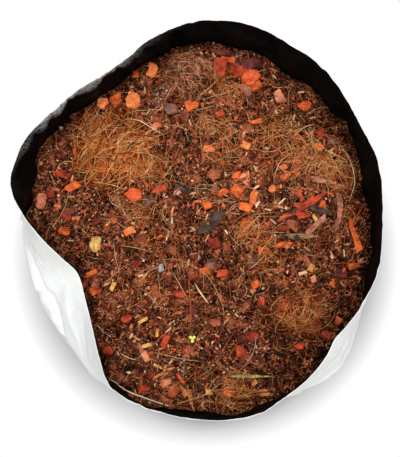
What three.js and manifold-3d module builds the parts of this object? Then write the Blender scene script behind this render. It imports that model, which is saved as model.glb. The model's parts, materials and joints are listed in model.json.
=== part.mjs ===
// A filled, open-topped grow bag: a film bag, white outside and black inside, that holds a coir
// growing medium. Husk chips, fibre tufts, husk strips and a straw lie bedded in its surface.
// Millimetres, +Z up. The origin is the middle of the flat base, +X is right and +Y is the back.
import * as THREE from "three";
import { mergeVertices } from "three/addons/utils/BufferGeometryUtils.js";
import Module from "manifold-3d";

const wasm = await Module();
wasm.setup();

// Driving dimensions of the bag.
const BODY_WIDTH = 286; // the filled body, left to right
const BODY_DEPTH = 314; // the filled body, front to back
const FILL_DEPTH = 250; // floor to the edge of the medium
const COLLAR = 52; // free film above the medium, along the film
const FILM = 0.4; // film thickness
const HEEL_INSET = 26; // how far the flat base lies inside the body
const HEEL_HEIGHT = 36; // height of the rounded heel between base and body
const BULGE = 16.5; // the most that the body's outline stands outside an ellipse
const BELLY = 4; // how far the body swells at half its height
const FOLD = 7; // the most that a soft fold moves the film in or out
const EDGE_FOLD = 0.4; // share of that at the edge of the medium, where the fill ends
const FLAP_FOLD = 2.4; // depth of the creases where the collar folds in

// Driving dimensions of the drain holes punched through the lower wall.
const DRAIN_BORE = 8;
const DRAIN_HEIGHT = 52;
const DRAIN_COUNT = 8;

// Driving dimensions of the medium's surface and of what is bedded in it.
const CROWN = 7; // how far the middle of the surface stands above its edge
const LUMP = 1.7; // height of the lumps in the surface
const LUMP_PITCH = 46; // distance between lumps
const FILL_GAP = 0.3; // film to medium
const BED_GAP = 0.3; // medium to a piece bedded in it
const BED_OPEN = 8; // height above a flat piece that its bed keeps clear of medium
const CHIP_TAPER = 0.86; // a chip's top face as a share of its foot
const CHIP_TILT = 13; // degrees that a chip may lie off level
const CHIP_SINK = 0.45; // share of a chip's thickness that is below the surface
const STRIP_THICKNESS = 3;
const STRIP_SINK = 0.35;
const TUFT_SINK = 0.42;

// How far the body's outline lies outside an ellipse, as a share of BULGE, by azimuth in degrees.
const BODY_BULGE = [
  [0, 0], [20, 0.06], [44, 0.18], [60, -0.12], [75, 0], [90, 0], [105, -0.36], [125, -0.67],
  [140, -0.3], [155, 0.24], [167, 0.18], [180, 0.18], [200, 0.24], [218, 0], [239, 0.12],
  [255, -0.06], [270, 0], [290, 0.33], [312, 1], [325, 0.6], [340, 0.24],
];

// How far the rim leans out from the body, as a share of the collar's length, by azimuth.
// The collar folds in over the medium at the front left, and less so at the front right.
const RIM_LEAN = [
  [0, 0.02], [18, 0.05], [32, -0.03], [45, 0.01], [56, 0.08], [75, 0.09], [90, 0.03], [104, -0.01],
  [115, -0.08], [133, -0.02], [150, 0], [165, 0.12], [171, 0.11], [179, -0.1], [187, -0.36],
  [196, -0.63], [204, -0.78], [216, -0.68], [227, -0.53], [235, -0.34], [242, -0.12], [250, -0.03],
  [275, 0.02], [287, -0.01], [298, -0.18], [316, -0.41], [324, -0.28], [333, -0.15], [343, -0.03],
];

// Facets of the film and the medium.
const SIDES = 84;
const HEEL_TURNS = [0, 30, 60, 90];
const BODY_ROWS = [0.13, 0.26, 0.39, 0.52, 0.65, 0.77, 0.89, 1];
const COLLAR_ROWS = [0.22, 0.48, 0.74, 1];
const SURFACE_RINGS = 9;
const BORE_SIDES = 12;

const COLOURS = {
  film: 0xeef0ee,
  medium: 0x3d2218,
  fibre: 0x9c6a35,
  dust: 0x6b4128,
  orange: 0xcf6a2e,
  red: 0xa3432a,
  maroon: 0x5d2c25,
  brown: 0x5f463a,
  pink: 0xc17a5c,
  ochre: 0xc99d55,
  straw: 0xbcab60,
};

// Chips of coconut husk. Each row is the place, as shares of the body's half width and half depth,
// then length, width and thickness, the turn in degrees, and the colour.
const CHIPS = [
  [-0.58, 0.658, 12, 10, 7, 20, "orange"],
  [-0.4, 0.673, 16, 14, 8, 85, "orange"],
  [-0.29, 0.839, 14, 9, 6, 70, "orange"],
  [-0.81, 0.264, 16, 7, 5, -25, "red"],
  [-0.88, 0.16, 10, 8, 5, -40, "red"],
  [-0.77, 0.06, 10, 8, 5, 15, "brown"],
  [-0.39, 0.15, 18, 12, 7, 5, "orange"],
  [-0.26, 0.523, 10, 6, 5, 10, "pink"],
  [-0.09, 0.585, 10, 8, 5, 60, "pink"],
  [-0.5, 0.01, 8, 7, 5, 30, "orange"],
  [-0.8, -0.045, 12, 7, 6, -15, "orange"],
  [-0.41, -0.045, 11, 8, 6, 25, "orange"],
  [0.14, 0.939, 24, 7, 5, -4, "maroon"],
  [0.3, 0.794, 19, 14, 8, 35, "orange"],
  [0.47, 0.694, 14, 11, 6, -60, "pink"],
  [0.625, 0.642, 14, 8, 6, -5, "orange"],
  [0.05, 0.399, 11, 8, 6, 0, "orange"],
  [0.27, 0.419, 10, 8, 6, -20, "orange"],
  [0.7, 0.414, 10, 8, 6, -45, "orange"],
  [0.8, 0.445, 14, 7, 4, -12, "brown"],
  [0.49, 0.3, 8, 6, 5, 20, "red"],
  [0.08, 0.259, 13, 11, 5, 10, "maroon"],
  [0.135, 0.16, 13, 7, 5, 25, "orange"],
  [0.315, 0.135, 12, 7, 5, 72, "orange"],
  [0.03, 0.1, 11, 7, 5, -15, "orange"],
  [0.42, 0.181, 8, 7, 5, 0, "red"],
  [-0.6, -0.32, 11, 8, 5, 75, "orange"],
  [-0.425, -0.51, 11, 8, 6, 15, "red"],
  [-0.53, -0.677, 11, 8, 6, -15, "red"],
  [-0.2, -0.628, 12, 7, 6, 65, "red"],
  [-0.12, -0.38, 11, 9, 6, 5, "red"],
  [-0.05, -0.47, 12, 8, 5, -10, "maroon"],
  [-0.28, -0.803, 9, 8, 6, 20, "red"],
  [-0.15, -0.891, 13, 10, 6, 40, "orange"],
  [-0.365, -0.21, 9, 6, 5, 0, "red"],
  [0.09, -0.11, 12, 11, 6, 15, "red"],
  [0.065, -0.225, 12, 10, 6, 40, "brown"],
  [0.3, -0.22, 11, 10, 6, 30, "brown"],
  [0.32, -0.325, 8, 7, 5, 20, "orange"],
  [0.35, -0.425, 11, 8, 5, 80, "red"],
  [0.9, -0.23, 11, 7, 5, 10, "orange"],
  [0.8, -0.52, 8, 7, 5, -30, "red"],
  [0.575, -0.648, 11, 7, 6, -5, "red"],
  [0.3, -0.599, 12, 9, 6, 0, "red"],
  [0.66, -0.305, 7, 6, 5, 15, "pink"],
  [0.085, -0.53, 11, 8, 5, -5, "pink"],
];

// Matted tufts of coir fibre: name, place, length, width, thickness, turn and colour.
const TUFTS = [
  ["coir_tuft_left", -0.51, 0.393, 66, 54, 18, 20, "fibre"],
  ["coir_tuft_back", -0.065, 0.825, 46, 37, 28, -10, "dust"],
  ["coir_tuft_right", 0.565, -0.475, 40, 28, 14, 15, "fibre"],
];

// Long thin pieces with tapered ends: name, place, length, width, turn and colour.
const STRIPS = [
  ["wood_splinter", 0.07, 0.004, 33, 9, 41, "brown"],
  ["red_husk_strip", 0.62, 0.096, 48, 5, 31, "red"],
  ["orange_husk_strip", 0.485, -0.118, 18, 4, 12, "orange"],
  ["husk_sliver", -0.223, 0.187, 21, 5, 23, "red"],
  ["dry_leaf_strip", 0.563, -0.073, 40, 4.5, 1, "brown"],
  ["straw", 0.28, -0.808, 42, 2.6, 0, "straw"],
];

// The curled strip of husk at the right: place, radius and width of the curl, first azimuth and
// sweep of its arc, and colour.
const CURL = [0.825, 0.086, 35, 4.4, -37, 74, "brown"];

// The pale lump of husk at the left: place, length, width, thickness, turn and colour.
const PALE_LUMP = [-0.61, -0.11, 15, 11, 10, 80, "ochre"];

// A repeatable number from 0 to 1 for a whole number.
function scatter(n) {
  const value = Math.sin(n * 127.1 + 11.7) * 43758.5453;
  return value - Math.floor(value);
}

// Smooth value at an azimuth, from stations of [azimuth, value] that close round the bag.
function around(stations, azimuth) {
  const count = stations.length;
  const station = (k) => {
    const turns = Math.floor(k / count);
    const [at, value] = stations[k - turns * count];
    return [at + 360 * turns, value];
  };
  const wrapped = ((azimuth % 360) + 360) % 360;
  let k = count - 1;
  while (stations[k][0] > wrapped) k -= 1;
  const [before, start, end, after] = [-1, 0, 1, 2].map((step) => station(k + step));
  const span = end[0] - start[0];
  const t = (wrapped - start[0]) / span;
  const slopeIn = ((end[1] - before[1]) / (end[0] - before[0])) * span;
  const slopeOut = ((after[1] - start[1]) / (after[0] - start[0])) * span;
  const rest = 2 * start[1] - 2 * end[1] + slopeIn + slopeOut;
  const bend = 3 * end[1] - 3 * start[1] - 2 * slopeIn - slopeOut;
  return ((rest * t + bend) * t + slopeIn) * t + start[1];
}

// Radius of the filled body's outline, without folds or belly.
function bodyRadius(azimuth) {
  const angle = THREE.MathUtils.degToRad(azimuth);
  const across = Math.cos(angle) / (BODY_WIDTH / 2);
  const along = Math.sin(angle) / (BODY_DEPTH / 2);
  return 1 / Math.hypot(across, along) + BULGE * around(BODY_BULGE, azimuth);
}

// Soft folds in the film, from -1 to 1, by azimuth and share of the fill's depth: upright drapes,
// drag folds that slant, and rolls where the bag slumps under its own weight.
function folds(azimuth, share) {
  const angle = THREE.MathUtils.degToRad(azimuth);
  const upright = Math.cos(8 * angle + 1.8 * Math.sin(2 * angle) + 0.8);
  const slanted = Math.cos(14 * angle + 5.5 * share + 1.4 * Math.sin(3 * angle));
  const rolls = Math.cos(10 * share + 2.4 * Math.sin(4 * angle + 1));
  const strength = EDGE_FOLD * share + (1 - EDGE_FOLD) * Math.sin(Math.PI * share);
  return strength * (0.4 * upright + 0.35 * slanted + 0.25 * rolls);
}

// Rows of the wall from the edge of the base to the rim, each a function of azimuth that gives
// [radius, height].
function wallRows() {
  const heel = HEEL_TURNS.map((turn) => (azimuth) => {
    const angle = THREE.MathUtils.degToRad(turn);
    const inset = HEEL_INSET * (1 - Math.sin(angle));
    return [bodyRadius(azimuth) - inset, HEEL_HEIGHT * (1 - Math.cos(angle))];
  });
  const body = BODY_ROWS.map((share) => (azimuth) => {
    const swell = BELLY * Math.sin(Math.PI * share) + FOLD * folds(azimuth, share);
    return [bodyRadius(azimuth) + swell, HEEL_HEIGHT + (FILL_DEPTH - HEEL_HEIGHT) * share];
  });
  const collar = COLLAR_ROWS.map((share) => (azimuth) => {
    const lean = around(RIM_LEAN, azimuth);
    const rise = COLLAR * Math.sqrt(1 - lean * lean);
    const foldedIn = Math.max(0, -lean);
    const crease = FLAP_FOLD * foldedIn * Math.sin(THREE.MathUtils.degToRad(14 * azimuth));
    const drape = FOLD * folds(azimuth, 1) * (1 - share);
    const out = lean * COLLAR * share + drape + crease * Math.sin(Math.PI * share);
    return [bodyRadius(azimuth) + out, FILL_DEPTH + rise * share];
  });
  return { filled: [...heel, ...body], collar };
}

const azimuths = Array.from({ length: SIDES }, (_, k) => (360 * k) / SIDES);

function polar(azimuth, radius, height) {
  const angle = THREE.MathUtils.degToRad(azimuth);
  return new THREE.Vector3(radius * Math.cos(angle), radius * Math.sin(angle), height);
}

// One ring of points for each wall row, moved inwards along the surface's normal.
function wallRings(rows, inwards) {
  const rings = rows.map((row) => azimuths.map((azimuth) => polar(azimuth, ...row(azimuth))));
  const down = new THREE.Vector3(0, 0, -1);
  return rings.map((ring, r) =>
    ring.map((point, k) => {
      const next = ring[(k + 1) % SIDES];
      const last = ring[(k + SIDES - 1) % SIDES];
      const above = rings[Math.min(r + 1, rings.length - 1)][k];
      const below = rings[Math.max(r - 1, 0)][k];
      const round = new THREE.Vector3().subVectors(next, last);
      const up = new THREE.Vector3().subVectors(above, below);
      const normal = r === 0 ? down : round.cross(up).normalize();
      return point.clone().addScaledVector(normal, -inwards);
    }),
  );
}

// A closed skin from a first point, through closed rings, to a last point. Each four-sided patch is
// split from its lower ring to the next place on its upper one, so that skins one inside another,
// whichever way their rings run, keep the gap between them.
function loft(first, rings, last) {
  const points = [first, ...rings.flat(), last];
  const at = (ring, k) => 1 + ring * SIDES + (k % SIDES);
  const end = points.length - 1;
  const faces = [];
  for (let k = 0; k < SIDES; k++) {
    faces.push(0, at(0, k + 1), at(0, k));
    for (let ring = 0; ring + 1 < rings.length; ring++) {
      const [a, b, c, d] = [at(ring, k), at(ring, k + 1), at(ring + 1, k + 1), at(ring + 1, k)];
      const rising = rings[ring + 1][0].z > rings[ring][0].z;
      faces.push(...(rising ? [a, b, c, a, c, d] : [a, b, d, b, c, d]));
    }
    faces.push(end, at(rings.length - 1, k), at(rings.length - 1, k + 1));
  }
  return new THREE.BufferGeometry().setFromPoints(points).setIndex(faces);
}

// Closed geometry as a solid that can be cut, and back again.
function solidOf(geometry) {
  const bare = geometry.clone();
  bare.deleteAttribute("normal");
  bare.deleteAttribute("uv");
  const merged = mergeVertices(bare);
  const vertProperties = new Float32Array(merged.attributes.position.array);
  const triVerts = new Uint32Array(merged.index.array);
  return new wasm.Manifold(new wasm.Mesh({ numProp: 3, vertProperties, triVerts }));
}

function geometryOf(solid) {
  const { vertProperties, triVerts } = solid.getMesh();
  const geometry = new THREE.BufferGeometry();
  geometry.setAttribute("position", new THREE.BufferAttribute(vertProperties, 3));
  geometry.setIndex(new THREE.BufferAttribute(triVerts, 1));
  geometry.computeVertexNormals();
  return geometry;
}

function material(colour, roughness) {
  return new THREE.MeshStandardMaterial({ color: COLOURS[colour], roughness, metalness: 0 });
}

function namedMesh(name, geometry, colour, roughness = 0.9) {
  const mesh = new THREE.Mesh(geometry, material(colour, roughness));
  mesh.name = name;
  return mesh;
}

// The film bag: one skin, up the outside, over the rim and down the inside, with its drain holes.
function filmBag() {
  const { filled, collar } = wallRows();
  const rows = [...filled, ...collar];
  const inside = wallRings(rows, FILM).reverse();
  const skin = loft(new THREE.Vector3(), [...wallRings(rows, 0), ...inside], new THREE.Vector3(0, 0, FILM));
  let solid = solidOf(skin);
  const reach = 2 * (BELLY + FOLD + DRAIN_BORE);
  for (let k = 0; k < DRAIN_COUNT; k++) {
    const azimuth = (360 * (k + 0.5)) / DRAIN_COUNT;
    const punch = new THREE.CylinderGeometry(DRAIN_BORE / 2, DRAIN_BORE / 2, reach, BORE_SIDES);
    punch.rotateZ(Math.PI / 2 + THREE.MathUtils.degToRad(azimuth));
    punch.translate(...polar(azimuth, bodyRadius(azimuth), DRAIN_HEIGHT));
    solid = solid.subtract(solidOf(punch));
  }
  return namedMesh("film_bag", geometryOf(solid), "film", 0.45);
}

// Height of the medium's surface above the floor.
function surfaceHeight(x, y) {
  const azimuth = THREE.MathUtils.radToDeg(Math.atan2(y, x));
  const share = Math.hypot(x, y) / bodyRadius(azimuth);
  const turn = (2 * Math.PI) / LUMP_PITCH;
  const lumps = Math.sin(turn * x + 0.9) * Math.cos(turn * y) + 0.6 * Math.sin(1.7 * turn * (x + y));
  return FILL_DEPTH - FILL_GAP + CROWN * (1 - share ** 2) + LUMP * lumps * (1 - share ** 4);
}

// The medium before anything is bedded in it: it fills the film up to the foot of the collar.
function plainMedium() {
  const { filled, collar } = wallRows();
  const side = wallRings([...filled, collar[0]], FILM + FILL_GAP).slice(0, filled.length);
  const edge = side[side.length - 1];
  edge.forEach((point) => (point.z = FILL_DEPTH - FILL_GAP));
  const surface = [];
  for (let ring = SURFACE_RINGS - 1; ring > 0; ring--) {
    const share = ring / SURFACE_RINGS;
    surface.push(
      edge.map(({ x, y }) => new THREE.Vector3(x * share, y * share, surfaceHeight(x * share, y * share))),
    );
  }
  const bottom = new THREE.Vector3(0, 0, FILM + FILL_GAP);
  return solidOf(loft(bottom, [...side, ...surface], new THREE.Vector3(0, 0, surfaceHeight(0, 0))));
}

// Puts a piece on the surface at a place given as shares of the body's half width and half depth.
// The form gives the piece's shape grown all round by a gap: with no gap it is the piece itself,
// and with the bed's gap it is the hollow that the piece lies in.
function lay(name, colour, form, [across, along], thickness, sink, turn, tilt = [0, 0]) {
  const x = (across * BODY_WIDTH) / 2;
  const y = (along * BODY_DEPTH) / 2;
  const mesh = namedMesh(name, form(0), colour);
  mesh.position.set(x, y, surfaceHeight(x, y) + thickness * (0.5 - sink));
  const [roll, pitch, yaw] = [...tilt, turn].map(THREE.MathUtils.degToRad);
  mesh.rotation.set(roll, pitch, yaw);
  mesh.updateMatrix();
  return { mesh, bed: solidOf(form(BED_GAP).applyMatrix4(mesh.matrix)) };
}

// An outline raised to a thickness, with its middle at the origin. A bed, which has a gap, is open above.
function slab(outline, thickness, gap) {
  const above = gap > 0 ? BED_OPEN : 0;
  const depth = thickness + 2 * gap + above;
  const geometry = new THREE.ExtrudeGeometry(outline, { depth, bevelEnabled: false, curveSegments: 6 });
  return geometry.translate(0, 0, -thickness / 2 - gap);
}

// A husk chip: a rough block of four to six corners, narrower at the top.
function chip(name, [across, along, length, width, thickness, turn, colour], seed) {
  const corners = 4 + (seed % 3);
  const form = (gap) => {
    const outline = Array.from({ length: corners }, (_, k) => {
      const angle = ((k + 0.5 + 0.3 * (scatter(seed * 9 + k) - 0.5)) * 2 * Math.PI) / corners;
      const reach = (0.5 + 0.1 * scatter(seed * 13 + k)) * (corners === 4 ? 1.2 : 1);
      const [long, wide] = [length, width].map((side) => side * reach + 1.5 * gap);
      return new THREE.Vector2(long * Math.cos(angle), wide * Math.sin(angle));
    });
    const geometry = slab(new THREE.Shape(outline), thickness, gap);
    const points = geometry.attributes.position;
    for (let k = 0; k < points.count; k++) {
      if (points.getZ(k) > 0) points.setXY(k, points.getX(k) * CHIP_TAPER, points.getY(k) * CHIP_TAPER);
    }
    return geometry;
  };
  const tilt = [2, 5].map((step) => CHIP_TILT * (2 * scatter(seed * 17 + step) - 1));
  return lay(name, colour, form, [across, along], thickness, CHIP_SINK, turn, tilt);
}

// A rounded piece: a ball drawn out to a length, a width and a thickness.
function ball(name, [across, along, length, width, thickness, turn, colour], sink) {
  const form = (gap) => {
    const geometry = new THREE.SphereGeometry(0.5, 14, 7).rotateX(Math.PI / 2);
    return geometry.scale(...[length, width, thickness].map((side) => side + 2.2 * gap));
  };
  return lay(name, colour, form, [across, along], thickness, sink, turn);
}

// A long piece with tapered ends.
function strip(name, [across, along, length, width, turn, colour]) {
  const form = (gap) => {
    const end = length / 2 + 3 * gap;
    const side = width / 2 + 1.5 * gap;
    const outline = new THREE.Shape();
    outline.moveTo(-end, 0);
    outline.quadraticCurveTo(-end / 2, -1.5 * side, end / 2, -side);
    outline.lineTo(end, 0);
    outline.quadraticCurveTo(end / 2, 1.5 * side, -end / 2, side);
    outline.closePath();
    return slab(outline, STRIP_THICKNESS, gap);
  };
  return lay(name, colour, form, [across, along], STRIP_THICKNESS, STRIP_SINK, turn);
}

// A strip curled into an arc, laid by the middle of that arc.
function curledStrip(name, [across, along, radius, width, from, sweep, colour]) {
  const middle = polar(from + sweep / 2, radius, 0);
  const form = (gap) => {
    const ends = THREE.MathUtils.radToDeg(gap / radius);
    const [start, end] = [from - ends, from + sweep + ends].map(THREE.MathUtils.degToRad);
    const outline = new THREE.Shape();
    outline.absarc(0, 0, radius + width / 2 + gap, start, end, false);
    outline.absarc(0, 0, radius - width / 2 - gap, end, start, true);
    outline.closePath();
    return slab(outline, STRIP_THICKNESS, gap).translate(-middle.x, -middle.y, 0);
  };
  return lay(name, colour, form, [across, along], STRIP_THICKNESS, STRIP_SINK, 0);
}

const pieces = [
  ...CHIPS.map((row, k) => chip(`husk_chip_${String(k + 1).padStart(2, "0")}`, row, k + 1)),
  ...TUFTS.map(([name, ...row]) => ball(name, row, TUFT_SINK)),
  ...STRIPS.map(([name, ...row]) => strip(name, row)),
  curledStrip("curled_husk_strip", CURL),
  ball("pale_husk_lump", PALE_LUMP, CHIP_SINK),
];
const medium = pieces.reduce((solid, { bed }) => solid.subtract(bed), plainMedium());

const surfacePieces = new THREE.Group();
surfacePieces.add(...pieces.map(({ mesh }) => mesh));

const growBag = new THREE.Group();
growBag.add(filmBag(), namedMesh("growing_medium", geometryOf(medium), "medium", 1), surfacePieces);

export default growBag;
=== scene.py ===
import json
import math
from dataclasses import dataclass

import bmesh
import bpy
import numpy as np
from mathutils import Euler, Matrix, Vector, noise
from mathutils.bvhtree import BVHTree


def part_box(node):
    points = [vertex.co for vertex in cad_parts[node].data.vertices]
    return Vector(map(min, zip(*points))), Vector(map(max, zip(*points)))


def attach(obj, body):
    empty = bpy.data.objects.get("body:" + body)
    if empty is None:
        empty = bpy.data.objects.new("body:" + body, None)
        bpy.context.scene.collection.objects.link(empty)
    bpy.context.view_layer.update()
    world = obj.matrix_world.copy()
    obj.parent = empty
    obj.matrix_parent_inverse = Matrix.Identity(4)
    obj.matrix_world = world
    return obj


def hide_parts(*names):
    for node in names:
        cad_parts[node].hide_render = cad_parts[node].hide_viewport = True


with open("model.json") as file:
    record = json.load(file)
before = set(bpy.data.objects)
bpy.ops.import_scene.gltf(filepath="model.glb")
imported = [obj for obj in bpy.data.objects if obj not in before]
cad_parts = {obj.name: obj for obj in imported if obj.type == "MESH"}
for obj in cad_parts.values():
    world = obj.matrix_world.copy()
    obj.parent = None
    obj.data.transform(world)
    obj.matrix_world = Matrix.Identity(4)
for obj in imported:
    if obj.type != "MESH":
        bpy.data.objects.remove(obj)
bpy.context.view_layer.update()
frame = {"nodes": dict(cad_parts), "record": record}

MM = 0.001

# Sizes of the bag, in millimetres, the same as the model's. EDGE_FOLD is the share of FOLD at the fill line.
BODY_WIDTH = 286
BODY_DEPTH = 314
FILL_DEPTH = 250
COLLAR = 52
FILM = 0.4
HEEL_INSET = 26
HEEL_HEIGHT = 36
BULGE = 16.5
BELLY = 4
FOLD = 7
EDGE_FOLD = 0.4
FLAP_FOLD = 2.4
FLAP_FOLD_COUNT = 14
DRAIN_BORE = 8
DRAIN_HEIGHT = 52
DRAIN_COUNT = 8
CROWN = 7
LUMP = 1.7
LUMP_PITCH = 46
FILL_GAP = 0.3

# How far the body's outline lies outside an ellipse, as a share of BULGE, by azimuth in degrees.
BODY_BULGE = [
    (0, 0), (20, 0.06), (44, 0.18), (60, -0.12), (75, 0), (90, 0), (105, -0.36), (125, -0.67),
    (140, -0.3), (155, 0.24), (167, 0.18), (180, 0.18), (200, 0.24), (218, 0), (239, 0.12),
    (255, -0.06), (270, 0), (290, 0.33), (312, 1), (325, 0.6), (340, 0.24),
]

# How far the rim leans out from the body, as a share of the collar's length, by azimuth.
RIM_LEAN = [
    (0, 0.02), (18, 0.05), (32, -0.03), (45, 0.01), (56, 0.08), (75, 0.09), (90, 0.03), (104, -0.01),
    (115, -0.08), (133, -0.02), (150, 0), (165, 0.12), (171, 0.11), (179, -0.1), (187, -0.36),
    (196, -0.63), (204, -0.78), (216, -0.68), (227, -0.53), (235, -0.34), (242, -0.12), (250, -0.03),
    (275, 0.02), (287, -0.01), (298, -0.18), (316, -0.41), (324, -0.28), (333, -0.15), (343, -0.03),
]

# Fineness of the film and of the medium's surface. The film's counts are even: it drapes on half its grid.
SIDES = 480
HEEL_STEPS = 12
BODY_STEPS = 84
COLLAR_STEPS = 30
EDGE_ROW = HEEL_STEPS + BODY_STEPS
MEDIUM_RINGS = 118

AZIMUTH = np.arange(SIDES) * 360 / SIDES
MEAN_RADIUS = (BODY_WIDTH + BODY_DEPTH) / 4


# Outline of the bag and height of its fill.


def around(stations, azimuth):
    """Smooth value at each azimuth, from stations that close round the bag."""
    at, value = (np.array(column, float) for column in zip(*stations))
    count = len(at)
    wrapped = np.mod(azimuth, 360)
    k = np.searchsorted(at, wrapped, side="right") - 1

    def station(step):
        j = k + step
        return at[j % count] + 360 * (j // count), value[j % count]

    (a0, v0), (a1, v1), (a2, v2), (a3, v3) = (station(step) for step in (-1, 0, 1, 2))
    span = a2 - a1
    t = (wrapped - a1) / span
    slope_in = (v2 - v0) / (a2 - a0) * span
    slope_out = (v3 - v1) / (a3 - a1) * span
    rest = 2 * v1 - 2 * v2 + slope_in + slope_out
    bend = 3 * v2 - 3 * v1 - 2 * slope_in - slope_out
    return ((rest * t + bend) * t + slope_in) * t + v1


def body_radius(azimuth):
    """Radius of the body's outline."""
    angle = np.radians(azimuth)
    ellipse = 1 / np.hypot(np.cos(angle) / (BODY_WIDTH / 2), np.sin(angle) / (BODY_DEPTH / 2))
    return ellipse + BULGE * around(BODY_BULGE, azimuth)


def main_folds(azimuth, share):
    """The film's main folds, from -1 to 1, by azimuth and share of the fill's depth, as in the model."""
    angle = np.radians(azimuth)
    upright = np.cos(8 * angle + 1.8 * np.sin(2 * angle) + 0.8)
    slanted = np.cos(14 * angle + 5.5 * share + 1.4 * np.sin(3 * angle))
    rolls = np.cos(10 * share + 2.4 * np.sin(4 * angle + 1))
    strength = EDGE_FOLD * share + (1 - EDGE_FOLD) * math.sin(math.pi * share)
    return strength * (0.4 * upright + 0.35 * slanted + 0.25 * rolls)


def surface_height(x, y):
    """Height of the medium's surface above the floor."""
    share = np.hypot(x, y) / body_radius(np.degrees(np.arctan2(y, x)))
    turn = 2 * math.pi / LUMP_PITCH
    lumps = np.sin(turn * x + 0.9) * np.cos(turn * y) + 0.6 * np.sin(1.7 * turn * (x + y))
    return FILL_DEPTH - FILL_GAP + CROWN * (1 - share**2) + LUMP * lumps * (1 - share**4)


# Short forms for meshes, pieces and materials.


def mesh_of(name, points, face_sets, materials=(), tints=None, smooth=True, picks=None):
    """A mesh object from points in millimetres and sets of faces, each set with its own number of corners."""
    sizes = np.concatenate([np.full(len(faces), np.shape(faces)[1]) for faces in face_sets])
    corners = np.concatenate([np.ravel(faces) for faces in face_sets])
    mesh = bpy.data.meshes.new(name)
    mesh.vertices.add(len(points))
    mesh.vertices.foreach_set("co", (np.asarray(points, float) * MM).ravel())
    mesh.loops.add(len(corners))
    mesh.loops.foreach_set("vertex_index", corners.astype(np.int32))
    mesh.polygons.add(len(sizes))
    mesh.polygons.foreach_set("loop_start", (np.cumsum(sizes) - sizes).astype(np.int32))
    mesh.polygons.foreach_set("use_smooth", np.full(len(sizes), smooth))
    for material in materials:
        mesh.materials.append(material)
    if picks is not None:
        mesh.polygons.foreach_set("material_index", np.asarray(picks, np.int32))
    mesh.update(calc_edges=True)
    if tints is not None:
        layer = mesh.color_attributes.new("tint", "FLOAT_COLOR", "POINT")
        layer.data.foreach_set("color", np.asarray(tints, float).ravel())
    made = bpy.data.objects.new(name, mesh)
    bpy.context.scene.collection.objects.link(made)
    return made


def finished(piece, slot, *nodes):
    """Puts a piece on the bag and hides the nodes that it stands for. Its finish, slot, is not used."""
    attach(piece, "root")
    if nodes:
        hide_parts(*nodes)
    return piece


def linear(*tone):
    """A colour given as it looks on screen, from 0 to 255, as the linear colour that shaders take."""
    shares = np.array(tone) / 255
    return (*np.where(shares > 0.04045, ((shares + 0.055) / 1.055) ** 2.4, shares / 12.92), 1)


def grey(level):
    return (level, level, level, 1)


class Nodes:
    """Short forms for building a node tree."""

    def __init__(self, tree):
        self.tree = tree

    def add(self, kind, sockets=None, **settings):
        """A new node with its settings, and its sockets fed from others or set to plain values."""
        node = self.tree.nodes.new(kind)
        for key, value in settings.items():
            setattr(node, key, value)
        for key, value in (sockets or {}).items():
            self.link(value, node.inputs[key])
        return node

    def link(self, value, socket):
        """Feeds a socket from another one, or sets it to a plain value."""
        if isinstance(value, bpy.types.NodeSocket):
            self.tree.links.new(value, socket)
        else:
            socket.default_value = value

    def math(self, operation, first, second):
        return self.add("ShaderNodeMath", {0: first, 1: second}, operation=operation).outputs["Value"]


class Look(Nodes):
    """A material and short forms for its textures and colours."""

    def __init__(self, name, roughness, specular=0.5):
        self.material = bpy.data.materials.new(name)
        self.material.use_nodes = True
        super().__init__(self.material.node_tree)
        self.shader = self.tree.nodes["Principled BSDF"]
        self.shader.inputs["Roughness"].default_value = roughness
        self.shader.inputs["Specular IOR Level"].default_value = specular
        self.place = self.add("ShaderNodeTexCoord").outputs["Object"]

    def noise(self, scale, detail=4, stretch=(1, 1, 1), rough=0.55, place=None):
        """Soft noise from 0 to 1, with its scale in waves a metre."""
        mapping = self.add("ShaderNodeMapping", {"Scale": stretch, "Vector": place or self.place})
        sockets = {"Scale": scale, "Detail": detail, "Roughness": rough, "Vector": mapping.outputs["Vector"]}
        return self.add("ShaderNodeTexNoise", sockets).outputs["Fac"]

    def threads(self, scale, width=0.05):
        """Thin winding lines, as fibres lie on a surface: 1 on a line and 0 away from it."""
        warp = self.add("ShaderNodeTexNoise", {"Scale": scale * 0.8, "Vector": self.place})
        sockets = {0: warp.outputs["Color"], 1: (1.6 / scale,) * 3, 2: self.place}
        moved = self.add("ShaderNodeVectorMath", sockets, operation="MULTIPLY_ADD")
        sockets = {"Scale": scale, "Vector": moved.outputs["Vector"]}
        cells = self.add("ShaderNodeTexVoronoi", sockets, feature="DISTANCE_TO_EDGE")
        return self.ramp(cells.outputs["Distance"], (0.0, grey(1)), (width, grey(0)))

    def ramp(self, value, *stops):
        """A colour for each value, from stops of a value and its colour."""
        node = self.add("ShaderNodeValToRGB", {"Fac": value})
        while len(node.color_ramp.elements) < len(stops):
            node.color_ramp.elements.new(0.5)
        for element, (position, colour) in zip(node.color_ramp.elements, stops):
            element.position = position
            element.color = colour
        return node.outputs["Color"]

    def mix(self, first, second, factor, blend="MIX"):
        """Two colours mixed. In the node's colour form they are sockets 6 and 7, and the result is 2."""
        sockets = {0: factor, 6: first, 7: second}
        return self.add("ShaderNodeMix", sockets, data_type="RGBA", blend_type=blend).outputs[2]

    def split(self, colour):
        """The red, green and blue of a colour, as sockets."""
        return self.add("ShaderNodeSeparateColor", {"Color": colour}).outputs

    def tint(self, form="Color"):
        """The tint that a mesh holds at each point, as a colour or as a vector."""
        return self.add("ShaderNodeAttribute", attribute_name="tint").outputs[form]

    def colour(self, socket):
        self.link(socket, self.shader.inputs["Base Color"])

    def bump(self, height, strength, distance):
        """Relief from a height, with its distance in metres."""
        node = self.add("ShaderNodeBump", {"Strength": strength, "Distance": distance, "Height": height})
        self.link(node.outputs["Normal"], self.shader.inputs["Normal"])


# Film of the bag.

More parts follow.
